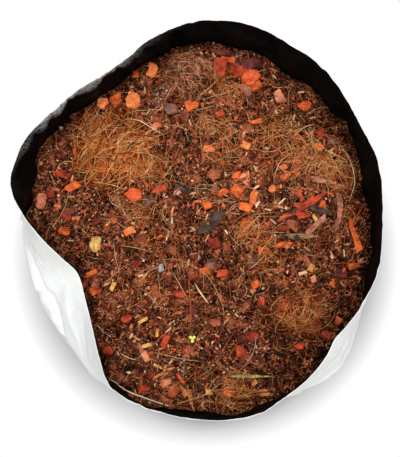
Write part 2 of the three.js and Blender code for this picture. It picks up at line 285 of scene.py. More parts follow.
# Drape of the film: how much longer than the bag it is, as a share, so that it hangs in folds, the frames
# that it takes, and the cloth's settings.
SLACK = 0.035
DRAPE_FRAMES = 30
CLOTH = {
    "quality": 6, "mass": 0.02, "tension_stiffness": 20, "compression_stiffness": 20, "shear_stiffness": 8,
    "bending_stiffness": 0.35, "shrink_min": -SLACK,
}
CLOTH_GRAVITY = 0.6
CLOTH_COLLISION = 3
CLOTH_GAP = 0.001

# The fill that the film drapes over: how far it is drawn in, as a share, its skin in metres and its friction.
FILL_SHARE = 0.992
FILL_SKIN = 0.0006
FILL_FRICTION = 12

# What is kept of the drape: moves finer than a spread in columns and rows, times a gain, up to a limit in
# millimetres, and easing off over the rows next to the base and the rim.
FOLD_SPREAD = (4, 3)
FOLD_GAIN = 1.6
FOLD_LIMIT = 6
HELD_ROWS = 4

# Folds seen on the flap and the wall beside it: a line of azimuth and millimetres up the film from the fill
# line, then half width and height in millimetres. A negative height is a dent.
FOLDS = [
    ([(181.5, 48), (184, 28), (188, 9), (196, 10), (203, 9)], 3.5, -1.7),
    ([(183.5, 46), (186.5, 27), (191, 15), (197, 16)], 3, -1.0),
    ([(186, 34), (190, 23), (195, 21)], 3, -0.7),
    ([(176, 3), (183, 2), (190, 1), (202, 2)], 5, 1.4),
    ([(203, 5), (204, -3), (205, -12)], 4, -2.6),
    ([(203, 9), (207, 17), (211.5, 19), (215, 14), (219, 4)], 4, -1.9),
    ([(206, 5), (210, 9), (214, 5)], 7, 1.6),
    ([(213, -2), (217, -4), (221, -1)], 4, -1.6),
    ([(208, 34), (214, 27), (221, 18), (228, 6)], 8, 1.2),
    ([(222, 34), (228, 22), (233, 8)], 5, -0.9),
    ([(218, -2), (225, -3), (232, -1), (238, -4)], 4, 1.4),
    ([(300, 6), (308, 3), (316, 8), (326, 2)], 5, 1.3),
    ([(303, 24), (312, 30), (321, 22)], 6, -1.1),
    ([(306, -10), (318, -4), (330, -9)], 5, -1.2),
]

# Creases that crushed the film before it was filled: pitch and height in millimetres, the seed and strength
# of their bends, the mean of their form, the share left at the foot, and how high up the floor flattens them.
CRUMPLES = [(21, 1.5), (9, 0.6)]
CRUMPLE_SEED = 4
CRUMPLE_BEND = 0.4
CRUMPLE_MEAN = 0.3
CRUMPLE_FOOT = 0.35
FLOOR_REACH = 20

# The share of folds and crumples that is pulled out of stretches that are folded in. It grows to this lean of
# the rim, and between these millimetres up the film from the fill line.
PULLED_FLAT = 0.75
FLAT_LEAN = -0.4
FLAT_FROM = -36
FLAT_TO = -6

# Wear of the rim: how ragged it is and the pitch of its slow and quick waves, in millimetres, where the
# scuffed stretch lies and how far it spreads, in degrees, how far down the inner face the scuffs reach, as a
# share of it, and a gain that widens the fully worn part.
RAGGED = 0.8
SLOW_WAVE = 24
QUICK_WAVE = 3.5
SCUFF_AT = 133
SCUFF_SPREAD = 17
SCUFF_DEPTH = 0.24
SCUFF_GAIN = 1.5

# Dust on the film's inner face: its strength at the foot, and how fast it thins out upwards.
WALL_DUST = 0.6
DUST_FADE = 2.4

# Rows of the film's inner face that are modelled, down to just under the medium's surface, and rows below and
# above the fill line that loose matter keeps inside of.
INNER_ROWS = COLLAR_STEPS + 8
ROWS_BESIDE = (2, 4)


def film_white():
    """White outer face, finely crinkled."""
    look = Look("film_white", 0.4)
    look.colour(look.ramp(look.noise(26, 5), (0.3, linear(238, 241, 238)), (0.7, linear(249, 251, 249))))
    crinkles = look.mix(look.noise(170, 6, rough=0.6), look.noise(55, 5, rough=0.7), 0.6)
    look.bump(crinkles, 0.5, 0.0022)
    return look.material


def film_black():
    """Black inner face. Its tint holds pale scuffs in red and brown dust in green."""
    look = Look("film_black", 0.62, 0.05)
    tint = look.split(look.tint())
    base = look.ramp(look.noise(60, 4), (0.3, linear(3, 3, 3)), (0.75, linear(8, 8, 7)))
    scratches = look.ramp(look.noise(420, 6, rough=0.7), (0.4, grey(0)), (0.52, grey(1)))
    specks = look.ramp(look.noise(380, 4), (0.5, grey(0)), (0.66, grey(1)))
    scuffed = look.mix(base, linear(248, 249, 247), look.math("MULTIPLY", tint["Red"], scratches))
    look.colour(look.mix(scuffed, linear(84, 52, 36), look.math("MULTIPLY", tint["Green"], specks)))
    look.bump(look.noise(140, 5), 0.3, 0.001)
    return look.material


def polar_points(azimuth, radius, height):
    """Points at azimuths in degrees, with their radius and height."""
    angle = np.radians(azimuth)
    height = np.broadcast_to(height, angle.shape)
    return np.stack([radius * np.cos(angle), radius * np.sin(angle), height], -1)


def noise_at(points, pitch):
    """Smooth noise from -1 to 1 at each point, with its pitch in the points' own unit."""
    return np.array([noise.noise(Vector(point) / pitch) for point in points])


def scuffs():
    """How worn the rim is at each azimuth, from 0 to 1."""
    return np.exp(-(((AZIMUTH - SCUFF_AT) / SCUFF_SPREAD) ** 2))


def ragged_rim():
    """How far the cut rim strays up or down, in millimetres, most where it is scuffed."""
    ring = polar_points(AZIMUTH, np.full(SIDES, MEAN_RADIUS), 0)
    slow = 1.4 * noise_at(ring, SLOW_WAVE)
    quick = (0.3 + 2.4 * scuffs()) * noise_at(ring, QUICK_WAVE)
    return RAGGED * (slow + quick)


def film_rest():
    """Points of the film's outer face before it drapes, by row from the base to the rim, and by azimuth."""
    outline = body_radius(AZIMUTH)
    lean = around(RIM_LEAN, AZIMUTH)
    drape = FOLD * main_folds(AZIMUTH, 1)
    folded = FLAP_FOLD * np.maximum(0, -lean) * np.sin(np.radians(FLAP_FOLD_COUNT * AZIMUTH))
    rise = COLLAR * np.sqrt(1 - lean**2) + ragged_rim()
    rows = []
    for turn in np.linspace(0, math.pi / 2, HEEL_STEPS + 1):
        rows.append((outline - HEEL_INSET * (1 - math.sin(turn)), HEEL_HEIGHT * (1 - math.cos(turn))))
    for share in np.linspace(0, 1, BODY_STEPS + 1)[1:]:
        swell = BELLY * math.sin(math.pi * share) + FOLD * main_folds(AZIMUTH, share)
        rows.append((outline + swell, HEEL_HEIGHT + (FILL_DEPTH - HEEL_HEIGHT) * share))
    for share in np.linspace(0, 1, COLLAR_STEPS + 1)[1:]:
        out = lean * COLLAR * share + drape * (1 - share) + folded * math.sin(math.pi * share)
        rows.append((outline + out, FILL_DEPTH + rise * share))
    return np.stack([polar_points(AZIMUTH, radius, height) for radius, height in rows])


def grid_faces(rows, sides=SIDES, first=0, flip=False):
    """Four-cornered faces between rings of points. Turned over, they split along the same diagonal."""
    ring, k = np.meshgrid(np.arange(rows - 1) * sides, np.arange(sides), indexing="ij")
    following = (k + 1) % sides
    corners = [ring + k, ring + following, ring + sides + following, ring + sides + k]
    faces = np.stack([c.ravel() for c in corners], axis=1) + first
    return faces[:, [0, 3, 2, 1]] if flip else faces


def fan_faces(first, middle, sides=SIDES, flip=False):
    """Three-cornered faces from a ring of points to one in its middle."""
    k = np.arange(sides)
    faces = np.stack([first + k, first + (k + 1) % sides, np.full(sides, middle)], axis=1)
    return faces[:, ::-1] if flip else faces


def outward(points):
    """Unit normals of a grid of points with its columns closed round."""
    round_it = np.roll(points, -1, axis=1) - np.roll(points, 1, axis=1)
    up_it = np.gradient(points, axis=0)
    normal = np.cross(round_it, up_it)
    return normal / np.linalg.norm(normal, axis=-1, keepdims=True)


def blurred(field, columns, rows):
    """A grid's field smoothed round the bag and up it, with these spreads in grid steps."""
    count, sides = field.shape[:2]
    step = np.arange(sides)
    ring = np.exp(-0.5 * (np.minimum(step, sides - step) / columns) ** 2)
    turned = np.stack([np.roll(ring, k) for k in step]) / ring.sum()
    level = np.arange(count)
    rise = np.exp(-0.5 * ((level[:, None] - level[None, :]) / rows) ** 2)
    rise /= rise.sum(axis=1, keepdims=True)
    return np.einsum("ij,jkc,lk->ilc", rise, field, turned, optimize=True)


def finer(field):
    """A field on a grid with twice the columns and rows, smooth between the old ones."""

    def halfway(before, first, second, after):
        return (9 * (first + second) - before - after) / 16

    wide = np.empty((len(field), 2 * field.shape[1], 3))
    wide[:, ::2] = field
    wide[:, 1::2] = halfway(*(np.roll(field, shift, axis=1) for shift in (1, 0, -1, -2)))
    tall = np.empty((2 * len(field) - 1, wide.shape[1], 3))
    tall[::2] = wide
    ends = np.concatenate([wide[:1], wide, wide[-1:]])
    tall[1::2] = halfway(ends[:-3], ends[1:-2], ends[2:-1], ends[3:])
    return tall


def fill_solid(points):
    """The fill that slack film rests on, as a solid that cloth runs into."""
    sides = points.shape[1]
    inner = points[: EDGE_ROW // 2 + 1] * (FILL_SHARE, FILL_SHARE, 1)
    count = len(inner) * sides
    solid = np.concatenate([inner.reshape(-1, 3), [(0, 0, 0), (0, 0, FILL_DEPTH)]])
    ends = [fan_faces(0, count, sides, flip=True), fan_faces(count - sides, count + 1, sides)]
    fill = mesh_of("fill_drape", solid, [grid_faces(len(inner), sides), *ends])
    fill.modifiers.new("hit", "COLLISION")
    fill.collision.thickness_outer = FILL_SKIN
    fill.collision.cloth_friction = FILL_FRICTION
    return fill


def simulated(points):
    """Where slack film comes to rest on the fill, held at its base and its rim."""
    rows, sides = points.shape[:2]
    slack = mesh_of("film_drape", points.reshape(-1, 3), [grid_faces(rows, sides)])
    held = slack.vertex_groups.new(name="held")
    held.add([*range(sides), *range((rows - 1) * sides, rows * sides)], 1.0, "REPLACE")
    fill = fill_solid(points)
    cloth = slack.modifiers.new("cloth", "CLOTH")
    for setting, value in CLOTH.items():
        setattr(cloth.settings, setting, value)
    cloth.settings.vertex_group_mass = "held"
    cloth.settings.effector_weights.gravity = CLOTH_GRAVITY
    cloth.collision_settings.distance_min = CLOTH_GAP
    cloth.collision_settings.collision_quality = CLOTH_COLLISION
    cloth.point_cache.frame_end = DRAPE_FRAMES
    scene = bpy.context.scene
    for step in range(1, DRAPE_FRAMES + 1):
        scene.frame_set(step)
    result = slack.evaluated_get(bpy.context.evaluated_depsgraph_get()).data
    settled = np.zeros(len(result.vertices) * 3)
    result.vertices.foreach_get("co", settled)
    for used in (slack, fill):
        mesh = used.data
        bpy.data.objects.remove(used)
        bpy.data.meshes.remove(mesh)
    scene.frame_set(1)
    return settled.reshape(points.shape) / MM


def draped(rest):
    """The film with the folds of its simulation, but with the outline, base and rim that it had before."""
    coarse = rest[::2, ::2]
    moved = simulated(coarse) - coarse
    folds = FOLD_GAIN * (moved - blurred(moved, *FOLD_SPREAD))
    far = np.linalg.norm(folds, axis=-1, keepdims=True)
    row = np.arange(len(coarse))
    freedom = np.clip(np.minimum(row, row[::-1]) / HELD_ROWS, 0, 1)[:, None, None]
    return rest + crumple_share() * finer(freedom * folds * FOLD_LIMIT / np.maximum(far, FOLD_LIMIT))


def film_levels():
    """Millimetres up the film from the fill line, of each row."""
    body = np.linspace(-FILL_DEPTH, 0, EDGE_ROW + 1)
    collar = np.linspace(0, COLLAR, COLLAR_STEPS + 1)
    return np.concatenate([body, collar[1:]])


def crumple_share():
    """How freely the film crumples, by row and azimuth: less where the collar is folded in."""
    folded_in = np.clip(around(RIM_LEAN, AZIMUTH) / FLAT_LEAN, 0, 1)
    above = np.clip((film_levels() - FLAT_FROM) / (FLAT_TO - FLAT_FROM), 0, 1)
    return (1 - PULLED_FLAT * above[:, None] * folded_in)[..., None]


def placed_folds():
    """How far the folds chosen by hand move the film out or in."""
    across = np.radians(AZIMUTH)[None, :] * MEAN_RADIUS
    up = film_levels()[:, None]
    moved = np.zeros((len(up), SIDES))
    for line, width, height in FOLDS:
        nearest = np.full_like(moved, np.inf)
        corners = [(math.radians(azimuth) * MEAN_RADIUS, level) for azimuth, level in line]
        for (x0, y0), (x1, y1) in zip(corners, corners[1:]):
            run, rise = x1 - x0, y1 - y0
            along = np.clip(((across - x0) * run + (up - y0) * rise) / (run**2 + rise**2), 0, 1)
            nearest = np.minimum(nearest, np.hypot(across - x0 - along * run, up - y0 - along * rise))
        moved += height * np.clip(1 - nearest / width, 0, 1) ** 1.5
    return moved


def crumpled(points):
    """Facets with sharp creases between them, weaker down the wall where the fill presses the film tight."""
    noise.seed_set(CRUMPLE_SEED)
    moved = np.zeros(points.shape[:2])
    for pitch, height in CRUMPLES:
        places = [Vector(p) / pitch for p in points.reshape(-1, 3)]
        nearest = [noise.voronoi(p + CRUMPLE_BEND * noise.noise_vector(p))[0] for p in places]
        creases = np.array([near[1] - near[0] for near in nearest]).reshape(moved.shape)
        moved += height * (creases - CRUMPLE_MEAN)
    level = points[..., 2]
    loose = np.clip(CRUMPLE_FOOT + (1 - CRUMPLE_FOOT) * level / FILL_DEPTH, 0, 1)
    return moved * loose * np.clip(level / FLOOR_REACH, 0, 1)


def punched(points, faces):
    """Opens the drain holes: drops the faces inside each bore and draws the cut's points to its circle."""
    flat = points.reshape(-1, 3).copy()
    bore = DRAIN_BORE / 2
    for k in range(DRAIN_COUNT):
        angle = 2 * math.pi * (k + 0.5) / DRAIN_COUNT
        aside = np.array((-math.sin(angle), math.cos(angle), 0))
        facing = flat @ (math.cos(angle), math.sin(angle), 0) > 0
        across, up = flat @ aside, flat[:, 2] - DRAIN_HEIGHT
        middles = np.hypot(across[faces].mean(axis=1), up[faces].mean(axis=1))
        inside = (middles < bore) & facing[faces].all(axis=1)
        cut = np.intersect1d(faces[inside], faces[~inside])
        pull = (bore / np.hypot(across[cut], up[cut]) - 1)[:, None]
        flat[cut] += pull * (across[cut, None] * aside + up[cut, None] * np.array((0, 0, 1)))
        faces = faces[~inside]
    return flat.reshape(points.shape), faces


def film_bag(outer):
    """White skin down to the base and, inside the collar, the black face of the same film."""
    rows = len(outer)
    outer, outer_faces = punched(outer, grid_faces(rows))
    inner = (outer - FILM * outward(outer))[-INNER_ROWS:]
    low = rows * SIDES
    middle = low + INNER_ROWS * SIDES
    k = np.arange(SIDES)
    following = (k + 1) % SIDES
    top, rim_inner = low - SIDES, middle - SIDES
    rim = np.stack([top + k, top + following, rim_inner + following, rim_inner + k], axis=1)
    inner_faces = grid_faces(INNER_ROWS, first=low, flip=True)
    foot = fan_faces(0, middle, flip=True)
    points = np.concatenate([outer.reshape(-1, 3), inner.reshape(-1, 3), [(0, 0, 0)]])
    picks = np.concatenate([np.zeros(len(outer_faces) + SIDES), np.ones(len(inner_faces)), np.zeros(SIDES)])
    share = np.linspace(0, 1, INNER_ROWS)[:, None]
    scuffed = np.clip(1 - (1 - share) / SCUFF_DEPTH, 0, 1) * np.clip(SCUFF_GAIN * scuffs(), 0, 1)
    dust = np.zeros((len(points), 4))
    dust[low:middle, 0] = scuffed.ravel()
    dust[low:middle, 1] = np.repeat(WALL_DUST * np.clip(1 - share * DUST_FADE, 0, 1) ** 2, SIDES)
    face_sets = [outer_faces, rim, inner_faces, foot]
    return mesh_of("film_bag_skin", points, face_sets, [film_white(), film_black()], dust, picks=picks)


def film_points():
    """Points of the film's outer face as it hangs, with its drape, folds and crumples."""
    rest = film_rest()
    hung = draped(rest)
    return hung + outward(hung) * (placed_folds()[..., None] + crumple_share() * crumpled(rest)[..., None])


film = film_points()
finished(film_bag(film), "film", "film_bag")


def least_radius(row, below, above):
    """Least radius of the draped film's inner face, by column, over the rows next to one."""
    near = film[max(0, row - below) : row + above + 1]
    return np.hypot(near[..., 0], near[..., 1]).min(axis=0) - FILM


def edge_radius(azimuth):
    """Least radius of the film's inner face beside the fill line and a little above it."""
    return np.interp(azimuth, AZIMUTH, least_radius(EDGE_ROW, *ROWS_BESIDE), period=360)


def inside_bag(x, y, margin):
    """Moves points that lie nearer the film than a margin back from it."""
    far = np.hypot(x, y) / (edge_radius(np.degrees(np.arctan2(y, x))) - margin)
    pull = np.maximum(1, far)
    return x / pull, y / pull


# Growing medium.

# Crumbly relief of the surface: pitch and height in millimetres, and the mean of its form.
PITH_GRAIN = [(11, 2.4), (4.5, 1.9), (1.8, 1.0)]
GRAIN_MEAN = 0.55

# How fast the relief fades out at the wall, how far husk presses the surface down, in millimetres, and how
# many rows of the film lie between rings of the medium's side.
WALL_FADE = 25
PRESSED = 1.5
SIDE_STEP = 6

# Painted shade by relief: lightness of the surface at its mean height, and the millimetres of relief from
# black to full lightness.
PAINTED_SHADE_MEAN = 0.48
PAINTED_SHADE_SPAN = 3.6

# Hollows between clumps, with painted shade in them: place from the middle, spread and depth in millimetres,
# and how much darker the painted shade makes them.
HOLLOWS = [
    (-23, 108, 9, 5), (-6, 107, 8, 5), (109, 8, 8, 5), (-112, -38, 13, 3), (80, -3, 9, 4), (-96, 58, 9, 4),
    (46, 103, 7, 4), (88, 92, 9, 3), (14, -60, 10, 3), (72, -88, 9, 4), (-60, -22, 9, 3), (30, -60, 8, 3),
]
HOLLOW_PAINTED_SHADE = 0.6

# Painted shade on the medium at the wall and under the collar that leans over it: how dark it is, by
# azimuth, and how far in that reaches, in millimetres.
PAINTED_WALL_SHADE = [
    (0, 0.95), (30, 0.9), (60, 0.75), (90, 0.5), (150, 0.45), (178, 0.6), (190, 0.5), (210, 0.2), (235, 0.25),
    (260, 0.4), (285, 0.8), (315, 0.94), (340, 0.95),
]
PAINTED_SHADE_REACH = 13

# Out of sight under the collar the surface is lower, in millimetres, from a start over a span outwards.
UNDER_COLLAR = 5
UNDER_START = 4
UNDER_SPAN = 8

# Damp and dry spots all over the medium: pitch in millimetres, and how much lighter or darker.
MOTTLE = [(14, 0.4), (5, 0.35)]

# Paler, more fibrous patches and darker ones: place and spread in millimetres, and how much lighter,
# with the limits of that where patches overlap.
PATCHES = [
    (20, 92, 26, 0.55), (46, 54, 26, 0.55), (98, 46, 22, 0.4), (30, 2, 18, 0.5), (-48, 40, 20, 0.25),
    (-36, 100, 16, 0.3), (-8, 136, 14, 0.35), (-50, -42, 24, 0.15), (102, -72, 32, -0.4),
    (66, -102, 26, -0.35), (-20, -118, 22, 0.25), (10, 28, 20, 0.45), (24, -128, 22, 0.35), (-8, 62, 24, 0.3),
    (-98, 12, 24, -0.3), (128, 24, 18, -0.4), (112, 82, 14, -0.4), (-112, -22, 14, -0.3), (8, -82, 16, -0.25),
    (-60, -102, 24, -0.2), (-64, 124, 16, -0.3), (28, -40, 13, -0.25), (52, 100, 12, -0.25),
    (10, 138, 12, -0.25),
]
PATCH_LIMITS = (-0.45, 0.6)


def nearness(x, y, across, along, spread):
    """1 at a place and less round it, over a spread."""
    return np.exp(-((x - across) ** 2 + (y - along) ** 2) / spread**2)


def patch(x, y):
    """How much lighter and more fibrous than most of the medium each place is."""
    lighter = np.zeros(np.shape(x))
    for *spot, weight in PATCHES:
        lighter += weight * nearness(x, y, *spot)
    return np.clip(lighter, *PATCH_LIMITS)


def hollowness(x, y, deep=False):
    """How far into a hollow each place lies, from 0 to 1, or how deep it is there."""
    inside = np.zeros(np.shape(x))
    for *spot, depth in HOLLOWS:
        dip = nearness(x, y, *spot)
        inside = np.maximum(inside, dip * depth if deep else dip)
    return inside


def from_rim(x, y):
    """Millimetres from each place out to the wall, or to the rim where the collar leans in over it."""
    azimuth = np.degrees(np.arctan2(y, x))
    covered = COLLAR * np.maximum(0, -around(RIM_LEAN, azimuth))
    return edge_radius(azimuth) - covered - np.hypot(x, y)


def ground(x, y):
    """Height of the medium's surface, with its hollows, and lower out of sight under the collar."""
    hidden = np.clip((-from_rim(x, y) - UNDER_START) / UNDER_SPAN, 0, 1)
    return surface_height(x, y) - hollowness(x, y, deep=True) - UNDER_COLLAR * hidden


def tone_and_painted_shade(x, y):
    """How light the medium is: painted shade in hollows and by the wall or under the collar that leans over
    it, times its patches and mottle.
    """
    # Painted shade by the wall and under the collar, strongest at the film and fading inwards.
    wall_painted_shade = np.exp(-np.maximum(0, from_rim(x, y)) / PAINTED_SHADE_REACH)
    wall_painted_shade *= around(PAINTED_WALL_SHADE, np.degrees(np.arctan2(y, x)))
    places = np.stack(np.broadcast_arrays(x, y, 0.0), -1)
    mottle = sum(depth * noise_at(places, pitch) for pitch, depth in MOTTLE)
    return (1 - wall_painted_shade) * (1 - HOLLOW_PAINTED_SHADE * hollowness(x, y)) * (1 + patch(x, y)) * (1 + mottle)


def pith():
    """Damp pith with painted shade: dark in its hollows and paler on its crumbs, by the height kept in its
    tint, with fibres.
    """
    look = Look("coir_pith", 0.95, 0.04)
    tones = (0.2, linear(22, 9, 5)), (0.5, linear(80, 42, 30)), (0.85, linear(158, 88, 62))
    height = look.mix(look.tint(), look.noise(240, 5, rough=0.65), 0.4)
    colour = look.ramp(height, *tones)
    for scale, tone in ((95, (140, 70, 42)), (150, (200, 108, 62)), (210, (236, 156, 98))):
        shown = look.ramp(look.noise(scale / 2, 3), (0.44, grey(0)), (0.56, grey(1)))
        colour = look.mix(colour, linear(*tone), look.math("MULTIPLY", look.threads(scale), shown))
    look.colour(colour)
    look.bump(look.noise(700, 5), 0.6, 0.0012)
    return look.material


def clumps(points):
    """Crumbly relief: round clumps with sharp hollows between them, in several sizes."""
    return sum(height * (2 * np.abs(noise_at(points, pitch)) - GRAIN_MEAN) for pitch, height in PITH_GRAIN)


def tucked(row, below, above):
    """A ring of the film's points drawn in far enough to clear the rows near it."""
    reach = least_radius(row, below, above) - FILL_GAP
    pull = (reach / np.hypot(film[row, :, 0], film[row, :, 1]))[:, None]
    height = np.maximum(film[row, :, 2:], FILM + FILL_GAP)
    return np.hstack([film[row, :, :2] * pull, height])


def medium_body():
    """The medium's side and foot, just inside the film, and its crumbly surface."""
    side = np.stack([tucked(row, SIDE_STEP, SIDE_STEP) for row in range(0, EDGE_ROW, SIDE_STEP)])
    edge = tucked(EDGE_ROW, SIDE_STEP, 1)
    shares = np.arange(MEDIUM_RINGS, 0, -1) / MEDIUM_RINGS
    top = (edge[None] * shares[:, None, None]).reshape(-1, 3)
    top[:, 2] = ground(top[:, 0], top[:, 1])
    relief = clumps(top) * np.clip((1 - np.repeat(shares, SIDES)) * WALL_FADE, 0, 1)
    relief[on_husk(top[:, 0], top[:, 1])] = -PRESSED
    top[:, 2] += relief
    points = np.concatenate([side.reshape(-1, 3), top, [(0, 0, top[-1, 2]), (0, 0, FILM + FILL_GAP)]])
    tints = np.full((len(points), 4), 0.5)
    # The tint holds painted shade: darker low in the relief, in hollows and by the wall, times the patches
    # and mottle.
    painted_shade_and_tone = np.clip(PAINTED_SHADE_MEAN + relief / PAINTED_SHADE_SPAN, 0, 1) * tone_and_painted_shade(top[:, 0], top[:, 1])
    tints[side.size // 3 : -2, :3] = painted_shade_and_tone[:, None]
    rows = len(side) + MEDIUM_RINGS
    crown, foot = len(points) - 2, len(points) - 1
    face_sets = [grid_faces(rows), fan_faces((rows - 1) * SIDES, crown), fan_faces(0, foot, flip=True)]
    return mesh_of("coir_medium", points, face_sets, [pith()], tints)


# Husk pieces bedded in the medium.

# Light and dark tone of each kind of husk, as it looks on screen.
HUSK_TONES = {
    "orange": ((246, 118, 54), (150, 54, 22)),
    "flame": ((255, 156, 92), (224, 106, 54)),
    "coral": ((248, 112, 62), (186, 70, 36)),
    "rust": ((206, 96, 50), (128, 50, 26)),
    "russet": ((190, 104, 74), (104, 50, 34)),
    "red": ((214, 82, 48), (120, 40, 26)),
    "crimson": ((166, 60, 40), (88, 30, 21)),
    "maroon": ((126, 54, 46), (58, 25, 21)),
    "brown": ((150, 102, 86), (70, 46, 39)),
    "pink": ((250, 158, 118), (174, 86, 60)),
    "ochre": ((252, 190, 102), (198, 120, 54)),
    "cream": ((255, 220, 142), (220, 156, 80)),
    "straw": ((228, 206, 122), (168, 140, 74)),
    "umber": ((214, 140, 112), (124, 74, 58)),
    "leaf": ((170, 134, 92), (48, 34, 24)),
    "wood": ((100, 76, 62), (30, 21, 16)),
    "bark": ((222, 140, 78), (84, 42, 24)),
    "ash": ((204, 198, 198), (122, 114, 114)),
}
# Soil on husk pieces, also their painted shade low on their sides and at their edges.
SOIL_AND_SHADE_TONE = (62, 33, 24)

# Smaller pieces between the modelled ones, by tone: place from the middle, length and width in millimetres,
# and turn in degrees.
SMALL_HUSK = {
    "orange": [
        (-71, 105, 9, 9, 20), (-55, 128, 6, 5, 0), (70, 5, 20, 2.5, 40), (-107, 31, 12, 8, 35),
        (-6, 100, 10, 7, 15), (25, 141, 10, 5, -10), (48, 117, 9, 6, 30), (48, 86, 10, 4, 15),
        (30, 39, 7, 6, 0), (32, 27, 11, 7, 40), (39, 13, 11, 7, -20), (7, 15, 8, 6, 10), (103, 15, 8, 5, 80),
        (38, -1, 10, 6, 70), (-89, -42, 8, 4, 20), (-87, -56, 8, 7, 45), (4, -41, 9, 7, 15),
        (52, -24, 7, 6, 0), (110, -50, 8, 4, 85), (23, -141, 8, 5, -15), (129, -10, 26, 5, -72),
    ],
    "red": [
        (-112, 6, 8, 5, -45), (17, 134, 15, 9, 80), (33, 132, 16, 10, -20), (102, 76, 7, 6, 0),
        (17, 92, 7, 6, 30), (86, 6, 11, 5, 10), (-46, -137, 10, 6, 15), (18, -42, 9, 6, 5),
        (104, -93, 8, 5, -30), (34, -108, 9, 7, -10),
    ],
    "russet": [(77, -1, 10, 7, -25)],
    "maroon": [(43, 138, 18, 12, 10), (117, -43, 11, 7, -15), (-21, -125, 9, 3, 84), (35, -96, 7, 6, 10)],
    "pink": [(-134, 20, 14, 7, 82), (-28, -133, 9, 4, 26), (-120, 14, 7, 3, -10), (-104, 4, 7, 3, 5)],
    "ochre": [
        (-34, -119, 8, 2, -28), (-26, -121, 9, 2, 8), (-44, -102, 8, 3, 12), (-47, -81, 8, 3, 30),
        (92, -38, 8, 5, 70), (-35, -91, 7, 3, 75), (7, -140, 5, 5, 0), (45, -132, 5, 4, 40),
        (-72, -54, 7, 3, 70), (97, 3, 8, 3, -55),
    ],
    "brown": [(-42, 18, 8, 7, 30), (-25, 97, 11, 9, 10)],
    "umber": [(97, -2, 21, 5, 45), (105, 35, 18, 3.5, -11), (38, 115, 13, 8, -50)],
    "wood": [(26, 55, 12, 4, 12), (-15, 28, 13, 4, -15), (103, 10, 20, 5, -15)],
    "bark": [
        (14, -138, 22, 2, 4), (34, -137, 28, 2, -6), (50, -139, 20, 2, 8), (24, -143, 30, 2, -4),
        (44, -146, 24, 2, 6), (12, -148, 18, 2, -8), (32, -151, 26, 2, 2), (30, -131, 24, 3, 2),
        (-8, -145, 17, 3, -80), (-33, -126, 12, 2.5, 30), (-26, -129, 13, 2.5, 24), (-21, -134, 12, 3, 38),
        (-14, -138, 14, 3, -60),
    ],
    "ash": [(-32, -38, 7, 4, 100)],
}

# Small pieces: most thickness in millimetres and as a share of the width, the share of it that is sunk, how
# uneven their corners are and how far they taper, as shares, how far short ones tilt, in degrees, and
# the seed.
SMALL_THICKNESS = 5
SMALL_THICK = 1.2
SMALL_SINK = 0.4
SMALL_UNEVEN = 0.2
SMALL_TAPER = 0.6
SMALL_TILT = 24
SMALL_SEED = 31

# Wear of husk: cuts of each edge, then bite and pitch of the roughness and the height over which a piece
# comes clean of soil and painted shade, all in millimetres. Last, how much darker painted shade makes
# pieces at their edges.
SHADE_AND_SOIL_HEIGHT = 3
CHIP_WEAR = (4, 1.0, 3, SHADE_AND_SOIL_HEIGHT)
LONG_WEAR = (2, 0.45, 4, 1)
SMALL_WEAR = (4, 0.6, 2.2)
EDGE_PAINTED_SHADE = 0.5

# Millimetres across and along a piece's grain that its tint has room for.
GRAIN_ACROSS = 60
GRAIN_ALONG = 400

# Long nodes, nodes whose tone is not that of their finish, and the finish of tones that have none themselves.
LONG_NODES = (
    "straw", "husk_sliver", "wood_splinter", "red_husk_strip", "orange_husk_strip", "curled_husk_strip",
    "dry_leaf_strip",
)
CHIP_TONES = {
    "flame": (1, 2, 3, 12, 17, 18, 19, 21, 24, 26),
    "russet": (6, 9, 22, 27, 46),
    "rust": (10, 25, 34, 42),
    "crimson": (5, 33, 35, 36, 44),
    "coral": (7, 14),
}
NODE_TONES = {
    "wood_splinter": "wood",
    "dry_leaf_strip": "leaf",
    "curled_husk_strip": "umber",
    "pale_husk_lump": "cream",
    **{f"husk_chip_{k:02d}": tone for tone, chips in CHIP_TONES.items() for k in chips},
}
TONE_SLOTS = {"ash": "ochre", "wood": "brown", "bark": "brown", "umber": "brown", "russet": "maroon"}


def husk(name, light, dark):
    """Chipped husk: mottled and streaked along its grain, with soil and painted shade low on its sides, and
    painted shade at its edges.
    """
    look = Look(name, 0.7, 0.15)
    streaks = look.noise(70, 4, (0, 1, 0.4), place=look.tint("Vector"))
    mottle = look.mix(look.noise(120, 5, rough=0.6), streaks, 0.36)
    mottled = look.ramp(mottle, (0.4, linear(*dark)), (0.58, linear(*light)))
    pits = look.ramp(look.noise(620, 4), (0.34, grey(0.5)), (0.5, grey(1)))
    clean_and_lit = look.mix(look.split(look.tint())["Red"], look.noise(190, 5), 0.35)
    shown = look.ramp(clean_and_lit, (0.24, grey(0)), (0.56, grey(1)))
    look.colour(look.mix(linear(*SOIL_AND_SHADE_TONE), look.mix(mottled, pits, 0.7, "MULTIPLY"), shown))
    look.bump(look.mix(look.noise(420, 6), streaks, 0.5), 0.55, 0.0012)
    return look.material


def roughen(shape, cuts, bite, pitch):
    """Makes a shape finer, eases its edges and breaks up its faces."""
    axes = {"use_axis_" + axis: True for axis in "xyz"}
    bmesh.ops.subdivide_edges(shape, edges=shape.edges[:], cuts=cuts, use_grid_fill=True)
    bmesh.ops.smooth_vert(shape, verts=shape.verts, factor=0.5, **axes)
    shape.normal_update()
    moves = []
    for vertex in shape.verts:
        place = vertex.co / (pitch * MM)
        rough = 1.6 * noise.noise(place / 2.2) + noise.noise(place) + 0.5 * noise.noise(place * 2.6)
        moves.append(vertex.normal * (bite * MM) * rough)
    for vertex, move in zip(shape.verts, moves):
        vertex.co += move


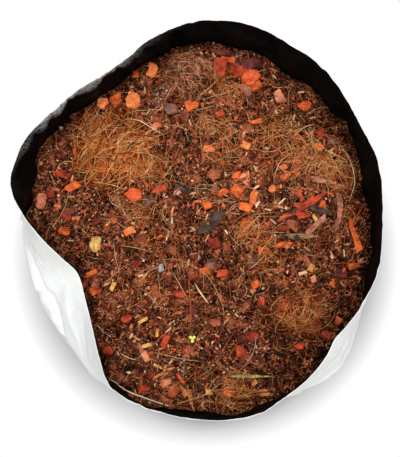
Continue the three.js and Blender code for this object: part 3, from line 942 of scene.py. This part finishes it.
def husk_tint(places, shade_and_soil_height):
    """How clean and lit each point is, in red: soil and painted shade low on it, painted shade at its edges;
    and its place across and along the grain.
    """
    flat = places[:, :2] - places[:, :2].mean(axis=0)
    grain = np.linalg.eigh(flat.T @ flat)[1]
    across, along = (flat @ grain).T
    reach = np.hypot(across, along)
    above = np.clip((places[:, 2] - surface_height(places[:, 0], places[:, 1])) / shade_and_soil_height, 0, 1)
    # Painted shade: darker low on the piece, together with soil, and at its edges.
    clean_and_lit = above * (1 - EDGE_PAINTED_SHADE * (reach / reach.max()) ** 3)
    start = 0.5 + 0.35 * math.sin(0.7 * places[0, 0] + 1.3 * places[0, 1])
    grain_place = 0.5 + across / GRAIN_ACROSS, start + along / GRAIN_ALONG
    return np.column_stack([clean_and_lit, *grain_place, np.ones(len(places))])


def piece_of(name, shapes, material, smooth=False, shade_and_soil_height=SHADE_AND_SOIL_HEIGHT):
    """A piece from shapes, with each shape's husk tint."""
    points, tints, faces = [], [], {}
    first = 0
    for shape in shapes:
        shape.verts.index_update()
        places = np.array([vertex.co for vertex in shape.verts]) / MM
        points.append(places)
        tints.append(husk_tint(places, shade_and_soil_height))
        for face in shape.faces:
            faces.setdefault(len(face.verts), []).append([first + vertex.index for vertex in face.verts])
        first += len(places)
        shape.free()
    sets = list(faces.values())
    return mesh_of(name, np.concatenate(points), sets, [material], np.concatenate(tints), smooth)


def worn_node(node, material, cuts, bite, pitch, shade_and_soil_height):
    """A finer copy of a node's own shape, with its edges worn and its faces rough."""
    shape = bmesh.new()
    shape.from_mesh(frame["nodes"][node].data)
    bmesh.ops.remove_doubles(shape, verts=shape.verts, dist=MM / 1000)
    roughen(shape, cuts, bite, pitch)
    return piece_of(node + "_rough", [shape], material, shade_and_soil_height=shade_and_soil_height)


def small_husk(tone, rows, rng):
    """Rough blocks of one tone, lying on the medium, as one piece."""
    cuts, bite, pitch = SMALL_WEAR
    blocks = []
    for x, y, length, width, turn in rows:
        block = bmesh.new()
        bmesh.ops.create_cube(block, size=1)
        taper = rng.uniform(-SMALL_TAPER, SMALL_TAPER)
        thickness = min(SMALL_THICKNESS, SMALL_THICK * width)
        for vertex in block.verts:
            vertex.co += Vector(rng.uniform(-SMALL_UNEVEN, SMALL_UNEVEN, 3))
            vertex.co.y *= width * MM * (1 + taper * vertex.co.x)
            vertex.co.x *= length * MM
            vertex.co.z *= thickness * MM
        roughen(block, cuts, bite, pitch)
        leans = rng.uniform(-SMALL_TILT, SMALL_TILT, 2) * width / length
        tilt = [math.radians(angle) for angle in (*leans, turn)]
        x, y = inside_bag(x, y, (length + width) / 3)
        height = surface_height(x, y) + thickness * (0.5 - SMALL_SINK) + bite
        bmesh.ops.rotate(block, verts=block.verts, matrix=Euler(tilt).to_matrix())
        bmesh.ops.translate(block, verts=block.verts, vec=Vector((x, y, height)) * MM)
        blocks.append(block)
    return piece_of("small_husk_" + tone, blocks, HUSKS[tone])


SLOT_OF = {row["node"]: row["material_slot"] for row in frame["record"]["subparts"]}
HUSKS = {tone: husk("husk_" + tone, *tones) for tone, tones in HUSK_TONES.items()}

husk_pieces = []
for node, slot in sorted(SLOT_OF.items()):
    if slot in HUSKS:
        wear = LONG_WEAR if node in LONG_NODES else CHIP_WEAR
        material = HUSKS[NODE_TONES.get(node, slot)]
        husk_pieces.append(finished(worn_node(node, material, *wear), slot, node))

husk_rng = np.random.default_rng(SMALL_SEED)
for tone, rows in SMALL_HUSK.items():
    husk_pieces.append(finished(small_husk(tone, rows, husk_rng), TONE_SLOTS.get(tone, tone)))


def tree_of(pieces):
    """A search tree of all the faces of some pieces."""
    whole = bmesh.new()
    for piece in pieces:
        whole.from_mesh(piece.data)
    tree = BVHTree.FromBMesh(whole)
    whole.free()
    return tree


husk_tree = tree_of(husk_pieces)


def on_husk(x, y):
    """Which places have a husk piece over them."""
    starts = np.column_stack([x, y, np.full(len(x), 2 * FILL_DEPTH)]) * MM
    return np.array([husk_tree.ray_cast(start, (0, 0, -1))[0] is not None for start in starts])


# Loose crumbs, shreds and fibres.

# Tones of loose matter, as they look on screen, with how often each turns up.
CRUMB_TINTS = [
    ((92, 48, 34), 5), ((136, 75, 53), 4), ((186, 103, 70), 2.8), ((240, 146, 102), 1.8), ((30, 13, 7), 7),
    ((255, 212, 170), 2.2),
]
SPECK_TINTS = [((250, 222, 182), 3), ((236, 194, 148), 3), ((252, 240, 216), 1.5), ((230, 180, 136), 2)]
SHRED_TINTS = [
    ((242, 112, 60), 2.6), ((208, 88, 52), 2.4), ((150, 65, 45), 4), ((102, 55, 42), 4),
    ((248, 154, 110), 2.6), ((66, 36, 29), 4), ((184, 102, 76), 2.4), ((255, 206, 160), 1),
]
SLIVER_TINTS = [((206, 146, 104), 3), ((236, 186, 138), 2), ((176, 108, 76), 3), ((250, 220, 176), 1)]
FIBRE_TINTS = [
    ((244, 132, 68), 4), ((255, 160, 88), 3.4), ((186, 94, 52), 4), ((110, 54, 36), 3), ((255, 198, 132), 3),
    ((255, 226, 180), 2.4),
]
GOLD_TINTS = [
    ((250, 152, 78), 5), ((226, 118, 52), 4), ((255, 178, 102), 4), ((124, 52, 20), 3.8),
    ((255, 214, 156), 2.2),
]
RUST_TINTS = [((238, 132, 68), 4), ((196, 100, 54), 4), ((255, 190, 116), 3), ((92, 42, 22), 5)]
TANGLE_TINTS = [((255, 154, 82), 4), ((255, 180, 106), 4), ((224, 114, 58), 2), ((255, 210, 152), 2.8)]
GRANULE_TINTS = [((236, 214, 196), 3), ((168, 142, 126), 3), ((252, 244, 234), 1.4)]
DUST_TINTS = [((230, 142, 94), 4), ((190, 108, 70), 4), ((252, 200, 146), 2.8), ((92, 48, 34), 4.5)]

# The seed of all loose matter. Places are drawn this many times over, and kept by chance: how far thick and
# thin patches of fibre lie apart, in millimetres, and the least chance in a thin one.
LOOSE_SEED = 5
DRAWS = 4
PATCH_PITCH = 30
LEAST_CHANCE = 0.08

# How fibres lie: their drift at each point, as a share of their bend, what the drift is divided by, the
# spread of their slope, how deep their ends lie in millimetres, and the spread of their shade.
FIBRE_DRIFT = 0.6
FIBRE_CALM = 3
FIBRE_SLOPE = 0.06
FIBRE_SUNK = 0.3
FIBRE_SPREAD = 0.3

# The powers by which dimmer crumbs and dimmer fibres lose red, green and blue, the least shade, and the
# painted shade of fibres: the lightness of the deepest ones, a gain, and a power of how high in their mat
# they lie, so that lower fibres are painted darker.
CRUMB_DIM = (1.0, 1.15, 1.2)
FIBRE_DIM = (1.0, 1.4, 1.7)
LEAST_SHADE = 0.02
FIBRE_DEEP = 0.07
FIBRE_GAIN = 1.5
FIBRE_POWER = 1.9

# Loose tangles of golden fibre: place and spread in millimetres, and how many hairs.
TANGLES = [
    (-53, 11, 14, 80), (42, -7, 14, 100), (108, 48, 16, 170), (27, 116, 14, 70), (68, 76, 16, 110),
    (7, 85, 10, 50), (-38, 41, 14, 80), (52, -33, 12, 60), (29, -142, 16, 90), (124, 8, 8, 45),
    (120, 30, 8, 45), (-92, 84, 12, 60), (88, 62, 14, 110), (20, 62, 14, 60),
]

# Grains and husk shreds: how many, the logarithm of their mean size in millimetres, and their tints or how
# far they keep from the film. Then how far grains, slivers and single hairs keep from it.
GRAINS = {"coir_crumbs": (7500, 0.42, CRUMB_TINTS), "pale_specks": (640, 0.15, SPECK_TINTS)}
SHREDS = {"husk_shreds": (2400, 0.45, 4), "husk_flakes": (130, 1.3, 8)}
GRAIN_GAP = 2.5
SLIVER_GAP = 7
HAIR_GAP = 4

# Least and most length, width and thickness of shreds, as shares of their size, and of slivers, in
# millimetres. Then how far each may tilt, in radians, the mean and spread of its height over the medium in
# millimetres, and how many slivers there are.
SHRED_SHAPE = ((0.9, 0.3, 0.25), (2.1, 0.75, 0.5))
SLIVER_SIZE = ((2.5, 0.8, 0.6), (6.5, 1.6, 1.1))
SHRED_TILT = 0.8
SLIVER_TILT = 0.4
SHRED_LIFT = (1.0, 0.6)
SLIVER_LIFT = (1.8, 0.4)
SLIVERS = 150

# A clump of pale granules by the back tuft: how many, its place and spread in millimetres, the logarithm of
# their mean size and its spread, and the mean and spread of their height over the medium.
GRANULES = 70
GRANULES_AT = (-33, 108)
GRANULES_SPREAD = 4.5
GRANULE_SIZE = (0.35, 0.35)
GRANULE_LIFT = (1.2, 0.6)

# Crumbs along the wall: how many, the rim's lean above which they lie, the logarithm of their mean size, how
# far they keep from the film, and how far in and up they reach, in millimetres.
LITTER = 1600
LITTER_LEAN = -0.1
LITTER_SIZE = 0.2
LITTER_GAP = 2
LITTER_REACH = 5
LITTER_RISE = 4

# Least gap between fibres and the film, in millimetres, and how far small solids' corners stray, as a share.
FIBRE_GAP = 2
UNEVEN = 0.33

# Small solids: corners of a form two units across, and faces.
OCTAHEDRON = (
    np.array([(1, 0, 0), (0, 1, 0), (-1, 0, 0), (0, -1, 0), (0, 0, 1), (0, 0, -1)], float),
    [(0, 1, 4), (1, 2, 4), (2, 3, 4), (3, 0, 4), (1, 0, 5), (2, 1, 5), (3, 2, 5), (0, 3, 5)],
)
BLOCK = (
    np.array([(x, y, z) for z in (-1, 1) for y in (-1, 1) for x in (-1, 1)], float),
    [(0, 2, 3, 1), (4, 5, 7, 6), (0, 1, 5, 4), (2, 6, 7, 3), (0, 4, 6, 2), (1, 3, 7, 5)],
)


@dataclass
class Hair:
    """A kind of fibre: its least and most length, thickness and rise above the medium, in millimetres, the
    spread of its bend in radians, and the points along it."""

    length: tuple
    thickness: tuple
    rise: tuple
    curl: float = 0.5
    steps: int = 8


# Hairs of tangles, then single hairs over the medium: how many, how patchy they lie, and their kind.
TANGLE_HAIR = Hair((8, 26), (0.3, 0.64), (1, 6), 0.5, 7)
HAIRS = [
    (2800, 0.7, Hair((3, 11), (0.28, 0.56), (0.3, 2.4), 0.7, 5)),
    (1300, 1.0, Hair((10, 30), (0.3, 0.68), (0.6, 4.2), 0.45, 7)),
    (120, 0.6, Hair((26, 58), (0.36, 0.72), (1.5, 6.0), 0.35, 10)),
]


def tinted(name, roughness, grain, bump=0.0006):
    """A material that takes its colour from each piece's own tint, broken up by grain."""
    look = Look(name, roughness, 0.08)
    shade = look.ramp(look.noise(grain, 5), (0.3, grey(0.5)), (0.62, grey(1)))
    look.colour(look.mix(look.tint(), shade, 0.9, "MULTIPLY"))
    look.bump(look.noise(grain * 2, 4), 0.5, bump)
    return look.material


def pick_tints(rng, tints, count, shade, hue, spread=0.16):
    """Tints drawn by how often each turns up, dimmed by a shade that varies by a spread and that holds
    painted shade.
    """
    colours = np.array([linear(*colour)[:3] for colour, _ in tints])
    weights = np.array([weight for _, weight in tints], float)
    picked = colours[rng.choice(len(colours), count, p=weights / weights.sum())]
    dimmed = np.clip(shade * (1 + spread * rng.standard_normal(count)), LEAST_SHADE, 1 / picked.max(axis=1))
    return np.column_stack([picked * dimmed[:, None] ** hue, np.ones(count)])


def spots(rng, count, margin, patchy=0.0, bare=0.85):
    """Places over the medium, up to a margin from the film, few on husk pieces, and some in patches."""
    drawn = DRAWS * count
    azimuth = rng.uniform(0, 360, drawn)
    reach = np.sqrt(rng.uniform(0, 1, drawn)) * (edge_radius(azimuth) - margin)
    places = polar_points(azimuth, reach, 0)
    x, y = places[:, 0], places[:, 1]
    thinned = patchy * (0.5 - 2 * patch(x, y) - 0.8 * noise_at(places, PATCH_PITCH))
    chance = (1 - bare * on_husk(x, y)) * np.clip(1 - thinned, LEAST_CHANCE, 1)
    kept = np.flatnonzero(rng.uniform(0, 1, drawn) < chance)[:count]
    return x[kept], y[kept]


def rotations(axes, angles):
    """Matrices that turn by angles about unit axes."""
    x, y, z = axes
    zero = np.zeros(len(angles))
    skew = np.stack([zero, -z, y, z, zero, -x, -y, x, zero], -1).reshape(-1, 3, 3)
    sine, cosine = np.sin(angles)[:, None, None], np.cos(angles)[:, None, None]
    return np.eye(3) + sine * skew + (1 - cosine) * (skew @ skew)


def turns(rng, count, tilt):
    """Random turns: any way round, and up to a tilt off level, as rotation matrices."""
    yaw = rng.uniform(0, 2 * math.pi, count)
    axis = rng.uniform(0, 2 * math.pi, count)
    lean = rng.uniform(0, tilt, count)
    zero = np.zeros(count)
    return rotations((np.cos(axis), np.sin(axis), zero), lean) @ rotations((zero, zero, zero + 1), yaw)


def scattered(name, rng, solid, places, sizes, tilt, lift, tints, material):
    """Many small solids of one form, each with its own size, turn, uneven corners and tint, as one mesh."""
    form, faces = solid
    x, y = places
    count = len(x)
    uneven = 1 + UNEVEN * rng.uniform(-1, 1, (count, len(form), 3))
    level = form[None] * uneven * sizes[:, None, :] / 2
    corners = np.einsum("nij,nkj->nki", turns(rng, count, tilt), level)
    middle = np.stack([x, y, ground(x, y) + lift], -1)
    points = (corners + middle[:, None, :]).reshape(-1, 3)
    first = np.arange(count)[:, None, None] * len(form)
    all_faces = (np.array(faces)[None] + first).reshape(-1, len(faces[0]))
    # Each solid's tint is dimmed by the painted shade and tone of its place.
    corner_tints = np.repeat(pick_tints(rng, tints, count, tone_and_painted_shade(x, y), CRUMB_DIM), len(form), axis=0)
    return mesh_of(name, points, [all_faces], [material], corner_tints, smooth=False)


def tubes(name, paths, thick, tints, material, sides=3):
    """Closed tubes along paths of equal point counts, with a radius at each point and one tint a tube."""
    count, steps = paths.shape[:2]
    along = np.gradient(paths, axis=1)
    along /= np.linalg.norm(along, axis=-1, keepdims=True) + 1e-9
    aside = np.cross(along, (0, 0, 1.0))
    aside /= np.linalg.norm(aside, axis=-1, keepdims=True) + 1e-9
    above = np.cross(aside, along)
    angles = math.pi / 2 + 2 * math.pi * np.arange(sides) / sides
    rings = [paths + thick[..., None] * (math.cos(a) * aside + math.sin(a) * above) for a in angles]
    points = np.stack(rings, axis=2).reshape(-1, 3)
    first = np.arange(count)[:, None, None] * steps * sides
    walls = (grid_faces(steps, sides)[None, :, ::-1] + first).reshape(-1, 4)
    ring = np.arange(sides)
    ends = (np.stack([ring, ring[::-1] + (steps - 1) * sides])[None] + first).reshape(-1, sides)
    return mesh_of(name, points, [walls, ends], [material], np.repeat(tints, steps * sides, axis=0))


def fibres(name, rng, starts, hair, tints, material, heading=None, dome=None, layer=None):
    """Fine curved hairs that rise out of the medium and go back into it."""
    x, y = starts
    count, steps = len(x), hair.steps
    if heading is None:
        heading = rng.uniform(0, 2 * math.pi, count)
    bend = rng.normal(0, hair.curl, count)
    drift = rng.normal(0, hair.curl * FIBRE_DRIFT, (count, steps))
    reach = rng.uniform(*hair.length, count)
    step = (reach / (steps - 1))[:, None]
    wander = np.cumsum(drift, axis=1) / FIBRE_CALM
    headings = heading[:, None] + bend[:, None] * np.linspace(-1, 1, steps) + wander
    xs = x[:, None] + np.cumsum(np.cos(headings), axis=1) * step - (np.cos(heading) * reach)[:, None] / 2
    ys = y[:, None] + np.cumsum(np.sin(headings), axis=1) * step - (np.sin(heading) * reach)[:, None] / 2
    xs, ys = inside_bag(xs, ys, FIBRE_GAP)
    t = np.linspace(0, 1, steps)
    level = rng.uniform(0, 1, count) if layer is None else layer
    rise = hair.rise[0] + (hair.rise[1] - hair.rise[0]) * level
    tilt = rng.normal(0, FIBRE_SLOPE, count) * reach
    arch = rise[:, None] * np.sin(math.pi * t) ** 0.7
    zs = ground(xs, ys) + arch - FIBRE_SUNK + tilt[:, None] * (t - 0.5)
    if dome is not None:
        zs = zs + dome(xs, ys) * level[:, None]
    tapered = 0.35 + 0.65 * np.sin(math.pi * t) ** 0.5
    thick = rng.uniform(*hair.thickness, count)[:, None] / 2 * tapered
    # Painted shade: fibres are darker the lower they lie in their mat and, off the tufts, by the painted
    # shade and tone of their place.
    light = tone_and_painted_shade(xs.mean(axis=1), ys.mean(axis=1)) if dome is None else 1.0
    shade = (FIBRE_DEEP + FIBRE_GAIN * level**FIBRE_POWER) * light
    shades = pick_tints(rng, tints, count, shade, FIBRE_DIM, FIBRE_SPREAD)
    return tubes(name, np.stack([xs, ys, zs], -1), thick, shades, material)


def grain_sizes(rng, count, size, spread=0.4):
    """Uneven sizes of grains, from the logarithm of their mean size and its spread."""
    return rng.lognormal(size, spread, (count, 1)) * rng.uniform(0.6, 1.4, (count, 3))


def grains(rng, crumb):
    """Crumbs and pale specks all over the medium."""
    for name, (count, size, tints) in GRAINS.items():
        places = spots(rng, count, GRAIN_GAP)
        sizes = grain_sizes(rng, len(places[0]), size)
        lift = rng.normal(1.0 - size, 0.8, len(sizes))
        finished(scattered(name, rng, OCTAHEDRON, places, sizes, math.pi, lift, tints, crumb), "medium")


def shreds(rng, shred):
    """Shreds, flakes and slivers of husk all over the medium."""
    for name, (count, size, margin) in SHREDS.items():
        places = spots(rng, count, margin)
        shape = rng.uniform(*SHRED_SHAPE, (len(places[0]), 3))
        sizes = rng.lognormal(size, 0.3, (len(shape), 1)) * shape
        lift = rng.normal(*SHRED_LIFT, len(shape))
        finished(scattered(name, rng, BLOCK, places, sizes, SHRED_TILT, lift, SHRED_TINTS, shred), "red")
    places = spots(rng, SLIVERS, SLIVER_GAP)
    sizes = rng.uniform(*SLIVER_SIZE, (len(places[0]), 3))
    lift = rng.normal(*SLIVER_LIFT, len(sizes))
    made = scattered("wood_slivers", rng, BLOCK, places, sizes, SLIVER_TILT, lift, SLIVER_TINTS, shred)
    finished(made, "ochre")


def granules(rng, crumb):
    """A clump of pale granules."""
    places = rng.normal(GRANULES_AT, GRANULES_SPREAD, (GRANULES, 2)).T
    sizes = grain_sizes(rng, GRANULES, *GRANULE_SIZE)
    lift = rng.normal(*GRANULE_LIFT, GRANULES)
    made = scattered("pale_granules", rng, OCTAHEDRON, places, sizes, math.pi, lift, GRANULE_TINTS, crumb)
    finished(made, "medium")


def wall_litter(rng, crumb):
    """Crumbs heaped along the film, where the collar doesn't lean in over them."""
    azimuth = rng.uniform(0, 360, LITTER)
    azimuth = azimuth[around(RIM_LEAN, azimuth) > LITTER_LEAN]
    count = len(azimuth)
    reach = edge_radius(azimuth) - LITTER_GAP - LITTER_REACH * rng.uniform(0, 1, count) ** 2
    places = polar_points(azimuth, reach, 0)[:, :2].T
    sizes = grain_sizes(rng, count, LITTER_SIZE)
    lift = rng.uniform(0, LITTER_RISE, count)
    made = scattered("wall_litter", rng, OCTAHEDRON, places, sizes, math.pi, lift, CRUMB_TINTS, crumb)
    finished(made, "medium")


def loose_fibres(rng, fibre):
    """Tangles of golden fibre, and single hairs all over the medium."""
    starts = [rng.normal((x, y), spread / 2, (count, 2)) for x, y, spread, count in TANGLES]
    starts = np.concatenate(starts).T
    layer = rng.uniform(0.35, 1.1, starts.shape[1])
    finished(fibres("coir_tangles", rng, starts, TANGLE_HAIR, TANGLE_TINTS, fibre, layer=layer), "fibre")
    for k, (count, patchy, hair) in enumerate(HAIRS, 1):
        places = spots(rng, count, HAIR_GAP, patchy, bare=0.4)
        finished(fibres(f"coir_hairs_{k}", rng, places, hair, FIBRE_TINTS, fibre), "fibre")


def loose_matter(fibre):
    """All that lies loose on the medium, drawn in one order from one seed."""
    rng = np.random.default_rng(LOOSE_SEED)
    crumb = tinted("coir_crumb", 0.6, 500)
    grains(rng, crumb)
    shreds(rng, tinted("husk_shred", 0.85, 420))
    granules(rng, crumb)
    wall_litter(rng, crumb)
    loose_fibres(rng, fibre)


# Matted tufts: the first one's seed, then node, number of hairs, their kind, the mat's height in millimetres,
# the hairs' mean azimuth and its spread in degrees, and tints.
TUFT_SEED = 21
TUFTS = [
    ("coir_tuft_left", 1500, Hair((12, 42), (0.4, 0.95), (0.2, 4.0), 0.8), 10, (40, 45), GOLD_TINTS),
    ("coir_tuft_back", 1800, Hair((6, 22), (0.35, 0.75), (0.2, 2.6), 0.9, 6), 17, (0, 180), DUST_TINTS),
    ("coir_tuft_right", 1000, Hair((10, 36), (0.32, 0.7), (0.2, 3.2), 0.9), 7, (20, 80), RUST_TINTS),
]


def tuft(seed, node, count, hair, height, toward, tints, fibre):
    """A mat of hairs over a tuft's node, highest in its middle."""
    rng = np.random.default_rng(seed)
    low, high = (np.array(corner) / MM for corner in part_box(node))
    middle, half = (low + high) / 2, (high - low) / 2
    angle = rng.uniform(0, 2 * math.pi, count)
    reach = rng.uniform(0, 1, count) ** 0.6
    starts = (middle[0] + half[0] * reach * np.cos(angle), middle[1] + half[1] * reach * np.sin(angle))
    heading = np.radians(rng.normal(*toward, count))

    def dome(x, y):
        share = ((x - middle[0]) / half[0]) ** 2 + ((y - middle[1]) / half[1]) ** 2
        return height * np.clip(1 - share, 0, 1) ** 0.6

    layer = rng.uniform(0.1, 1, count)
    return fibres(node + "_hairs", rng, starts, hair, tints, fibre, heading, dome, layer)


fibre_look = tinted("coir_fibre", 0.75, 240, 0.0002)
finished(medium_body(), "medium", "growing_medium")
loose_matter(fibre_look)
for seed, row in enumerate(TUFTS, TUFT_SEED):
    finished(tuft(seed, *row, fibre_look), SLOT_OF[row[0]], row[0])

# Single pale strands: points along each one, what its thickness is divided by for its radius and its lift off
# the medium in millimetres. Then each one's points from the middle, thickness and rise in millimetres, and
# tone on screen.
STRAND_STEPS = 14
STRAND_SHARE = 2.6
STRAND_LIFT = 0.5
STRANDS = [
    ([(-76, -128), (-61, -138), (-46, -144), (-23, -152)], 1.6, 4, (255, 232, 192)),
    ([(118, 68), (127, 52), (130, 34), (125, 18)], 0.9, 4, (240, 200, 150)),
    ([(104, 63), (114, 58), (124, 54)], 1.4, 3, (246, 206, 150)),
    ([(-61, 90), (-50, 86), (-42, 81), (-32, 76)], 1.1, 4, (250, 222, 176)),
    ([(-48, 71), (-44, 77), (-35, 81)], 0.9, 3, (246, 214, 168)),
    ([(-90, -85), (-84, -86), (-79, -92)], 1.0, 3, (240, 206, 162)),
    ([(-67, -19), (-54, -21), (-42, -24)], 0.8, 3, (226, 178, 128)),
    ([(-88, 3), (-74, 2), (-62, -5), (-54, -15)], 0.8, 3, (222, 160, 108)),
    ([(-66, -108), (-58, -112), (-50, -114)], 1.0, 3, (250, 214, 164)),
    ([(76, 71), (88, 81), (98, 85)], 1.0, 4, (240, 196, 140)),
    ([(62, 38), (68, 52), (82, 62)], 1.0, 4, (236, 190, 138)),
    ([(52, 65), (66, 73), (84, 71)], 0.8, 4, (230, 168, 104)),
    ([(-110, 31), (-92, 38), (-76, 50), (-62, 60)], 1.0, 5, (232, 168, 100)),
    ([(-30, 106), (-22, 118), (-10, 126)], 0.9, 4, (238, 184, 128)),
    ([(-8, 102), (6, 114), (16, 124)], 0.9, 4, (236, 176, 112)),
    ([(0, 89), (14, 83), (28, 89)], 0.8, 4, (230, 164, 104)),
    ([(100, 44), (112, 48), (122, 40)], 0.9, 4, (238, 190, 140)),
    ([(-4, -51), (0, -58), (7, -67)], 2.0, 3, (252, 222, 150)),
    ([(-36, -31), (-20, -31), (-7, -36), (8, -47), (18, -67), (20, -82)], 0.8, 4, (214, 164, 112)),
    ([(27, -16), (45, 1), (52, 8)], 0.9, 4, (236, 176, 116)),
]

# The seedling: where it stands, how high its leaves are, their length, width and thickness in millimetres,
# their azimuths, the stalk's lower and upper radius and length, and how far its middle lies below the leaves.
SPROUT_AT = (-6.3, -96.2)
SPROUT_HEIGHT = 3.2
SPROUT_LEAF = (3.2, 2.7, 1.1)
SPROUT_TURNS = (38, 140, 272)
SPROUT_STALK = (0.5, 0.35, 5)
STALK_DROP = 2


def smooth_path(corners, steps):
    """Points along a smooth curve through corners."""
    corners = np.array(corners, float)
    ends = np.concatenate([2 * corners[:1] - corners[1:2], corners, 2 * corners[-1:] - corners[-2:-1]])
    at = np.linspace(0, len(corners) - 1, steps)
    k = np.minimum(at.astype(int), len(corners) - 2)
    t = (at - k)[:, None]
    a, b, c, d = ends[k], ends[k + 1], ends[k + 2], ends[k + 3]
    return b + t * (c - a) / 2 + t**2 * (a - 2.5 * b + 2 * c - d / 2) + t**3 * (1.5 * (b - c) + (d - a) / 2)


def pale_strands(fibre):
    """Strands that rise off the medium between their ends."""
    t = np.linspace(0, 1, STRAND_STEPS)
    paths, thick, tones = [], [], []
    for corners, thickness, rise, tone in STRANDS:
        flat = np.column_stack(inside_bag(*smooth_path(corners, STRAND_STEPS).T, FIBRE_GAP))
        height = ground(flat[:, 0], flat[:, 1]) + rise * np.sin(math.pi * t) ** 0.5 + STRAND_LIFT
        paths.append(np.column_stack([flat, height]))
        thick.append(thickness / STRAND_SHARE * (0.5 + 0.5 * np.sin(math.pi * t)))
        tones.append(linear(*tone))
    return tubes("pale_strands", np.array(paths), np.array(thick), np.array(tones), fibre, sides=5)


def sprout():
    """Small seed leaves on a short stalk."""
    look = Look("seedling", 0.5)
    look.colour(look.ramp(look.noise(500, 3), (0.3, linear(206, 214, 62)), (0.7, linear(240, 238, 128))))
    shape = bmesh.new()
    leaf_size = Vector(SPROUT_LEAF) * MM
    top = Vector((*SPROUT_AT, surface_height(*SPROUT_AT) + SPROUT_HEIGHT)) * MM
    for turn in SPROUT_TURNS:
        leaf = bmesh.ops.create_icosphere(shape, subdivisions=3, radius=0.5)["verts"]
        for vertex in leaf:
            x, y, z = vertex.co
            vertex.co = Vector((x + 0.5, y * (1 + 0.4 * x), z)) * leaf_size
            vertex.co.z += 0.25 * vertex.co.x
        bmesh.ops.rotate(shape, verts=leaf, matrix=Euler((0, 0, math.radians(turn))).to_matrix())
        bmesh.ops.translate(shape, verts=leaf, vec=top)
    lower, upper, length = (measure * MM for measure in SPROUT_STALK)
    stalk = {"radius1": lower, "radius2": upper, "depth": length}
    middle = Matrix.Translation(top - Vector((0, 0, STALK_DROP)) * MM)
    bmesh.ops.create_cone(shape, cap_ends=True, segments=8, matrix=middle, **stalk)
    return piece_of("seedling", [shape], look.material, smooth=True)


finished(pale_strands(fibre_look), "fibre")
finished(sprout(), "straw")

# Camera, floor and light.

# Camera, in metres, and its lens and sensor in millimetres.
CAMERA_AT = (0, -0.091, 1.0)
CAMERA_AIM = (0, -0.007, 0.275)
CAMERA_LENS = 70.66
CAMERA_SENSOR = 36

# Lamps: place and size in metres and power in watts, and the place that they all point at.
LAMPS = {
    "key_left": ((-0.36, 0.22, 2.2), 0.22, 16.4),
    "key_right": ((0.34, 0.22, 2.2), 0.22, 11),
    "fill": ((0.3, -1.2, 1.2), 1.0, 6.3),
}
LAMP_AIM = (0, 0, 0.2)
SKY = 0.4

# Grey paint of the floor, which near the bag, inside the ring, is painted shadow on top of the lamps'
# shadow, and its half width in millimetres, and the ring round the bag over which it turns to plain white:
# its middle and radii in metres.
FLOOR_SHADOW_GREY = 0.62
FLOOR_HALF = 4000
GLOW_AT = (0.006, 0, 0)
GLOW_FROM = 0.186
GLOW_TO = 0.216


def seen_directly(look):
    """1 for rays from the camera, or that a glossy or clear surface sends on, and otherwise 0."""
    path = look.add("ShaderNodeLightPath").outputs
    mirrored = look.math("MAXIMUM", path["Is Glossy Ray"], path["Is Transmission Ray"])
    return look.math("MAXIMUM", path["Is Camera Ray"], mirrored)


def floor():
    """A grey floor: near the bag it keeps the lamps' shadow, darkened by its grey as painted shadow, and
    further off it is plain white.
    """
    look = Look("floor_white", 0.9, 0.0)
    look.shader.inputs["Base Color"].default_value = grey(FLOOR_SHADOW_GREY)
    distance = look.add("ShaderNodeVectorMath", {0: look.place, 1: GLOW_AT}, operation="DISTANCE")
    sockets = {"Value": distance.outputs["Value"], "From Min": GLOW_FROM, "From Max": GLOW_TO}
    fade = look.add("ShaderNodeMapRange", sockets).outputs["Result"]
    glow = look.add("ShaderNodeEmission").outputs["Emission"]
    shown = look.math("MULTIPLY", fade, seen_directly(look))
    blend = look.add("ShaderNodeMixShader", {0: shown, 1: look.shader.outputs["BSDF"], 2: glow})
    look.link(blend.outputs["Shader"], look.tree.nodes["Material Output"].inputs["Surface"])
    corners = [(x * FLOOR_HALF, y * FLOOR_HALF, 0) for x, y in ((-1, -1), (1, -1), (1, 1), (-1, 1))]
    mesh_of("floor", corners, [[(0, 1, 2, 3)]], [look.material])


def aimed(made, at, target):
    """Puts a lamp or camera in its place, pointed at a target."""
    made.location = at
    made.rotation_euler = (Vector(target) - Vector(at)).to_track_quat("-Z", "Y").to_euler()
    bpy.context.scene.collection.objects.link(made)
    return made


def studio():
    """World, lamps and camera."""
    scene = bpy.context.scene
    world = bpy.data.worlds.new("studio")
    world.use_nodes = True
    look = Nodes(world.node_tree)
    sky = look.tree.nodes["Background"]
    sky.inputs["Color"].default_value = (1, 1, 1, 1)
    look.link(look.math("MAXIMUM", seen_directly(look), SKY), sky.inputs["Strength"])
    scene.world = world
    for name, (at, size, power) in LAMPS.items():
        lamp = bpy.data.lights.new(name, "AREA")
        lamp.size = size
        lamp.energy = power
        aimed(bpy.data.objects.new(name, lamp), at, LAMP_AIM)
    camera = bpy.data.cameras.new("camera")
    camera.lens = CAMERA_LENS
    camera.sensor_width = CAMERA_SENSOR
    scene.camera = aimed(bpy.data.objects.new("camera", camera), CAMERA_AT, CAMERA_AIM)
    scene.view_settings.view_transform = "Standard"


floor()
studio()
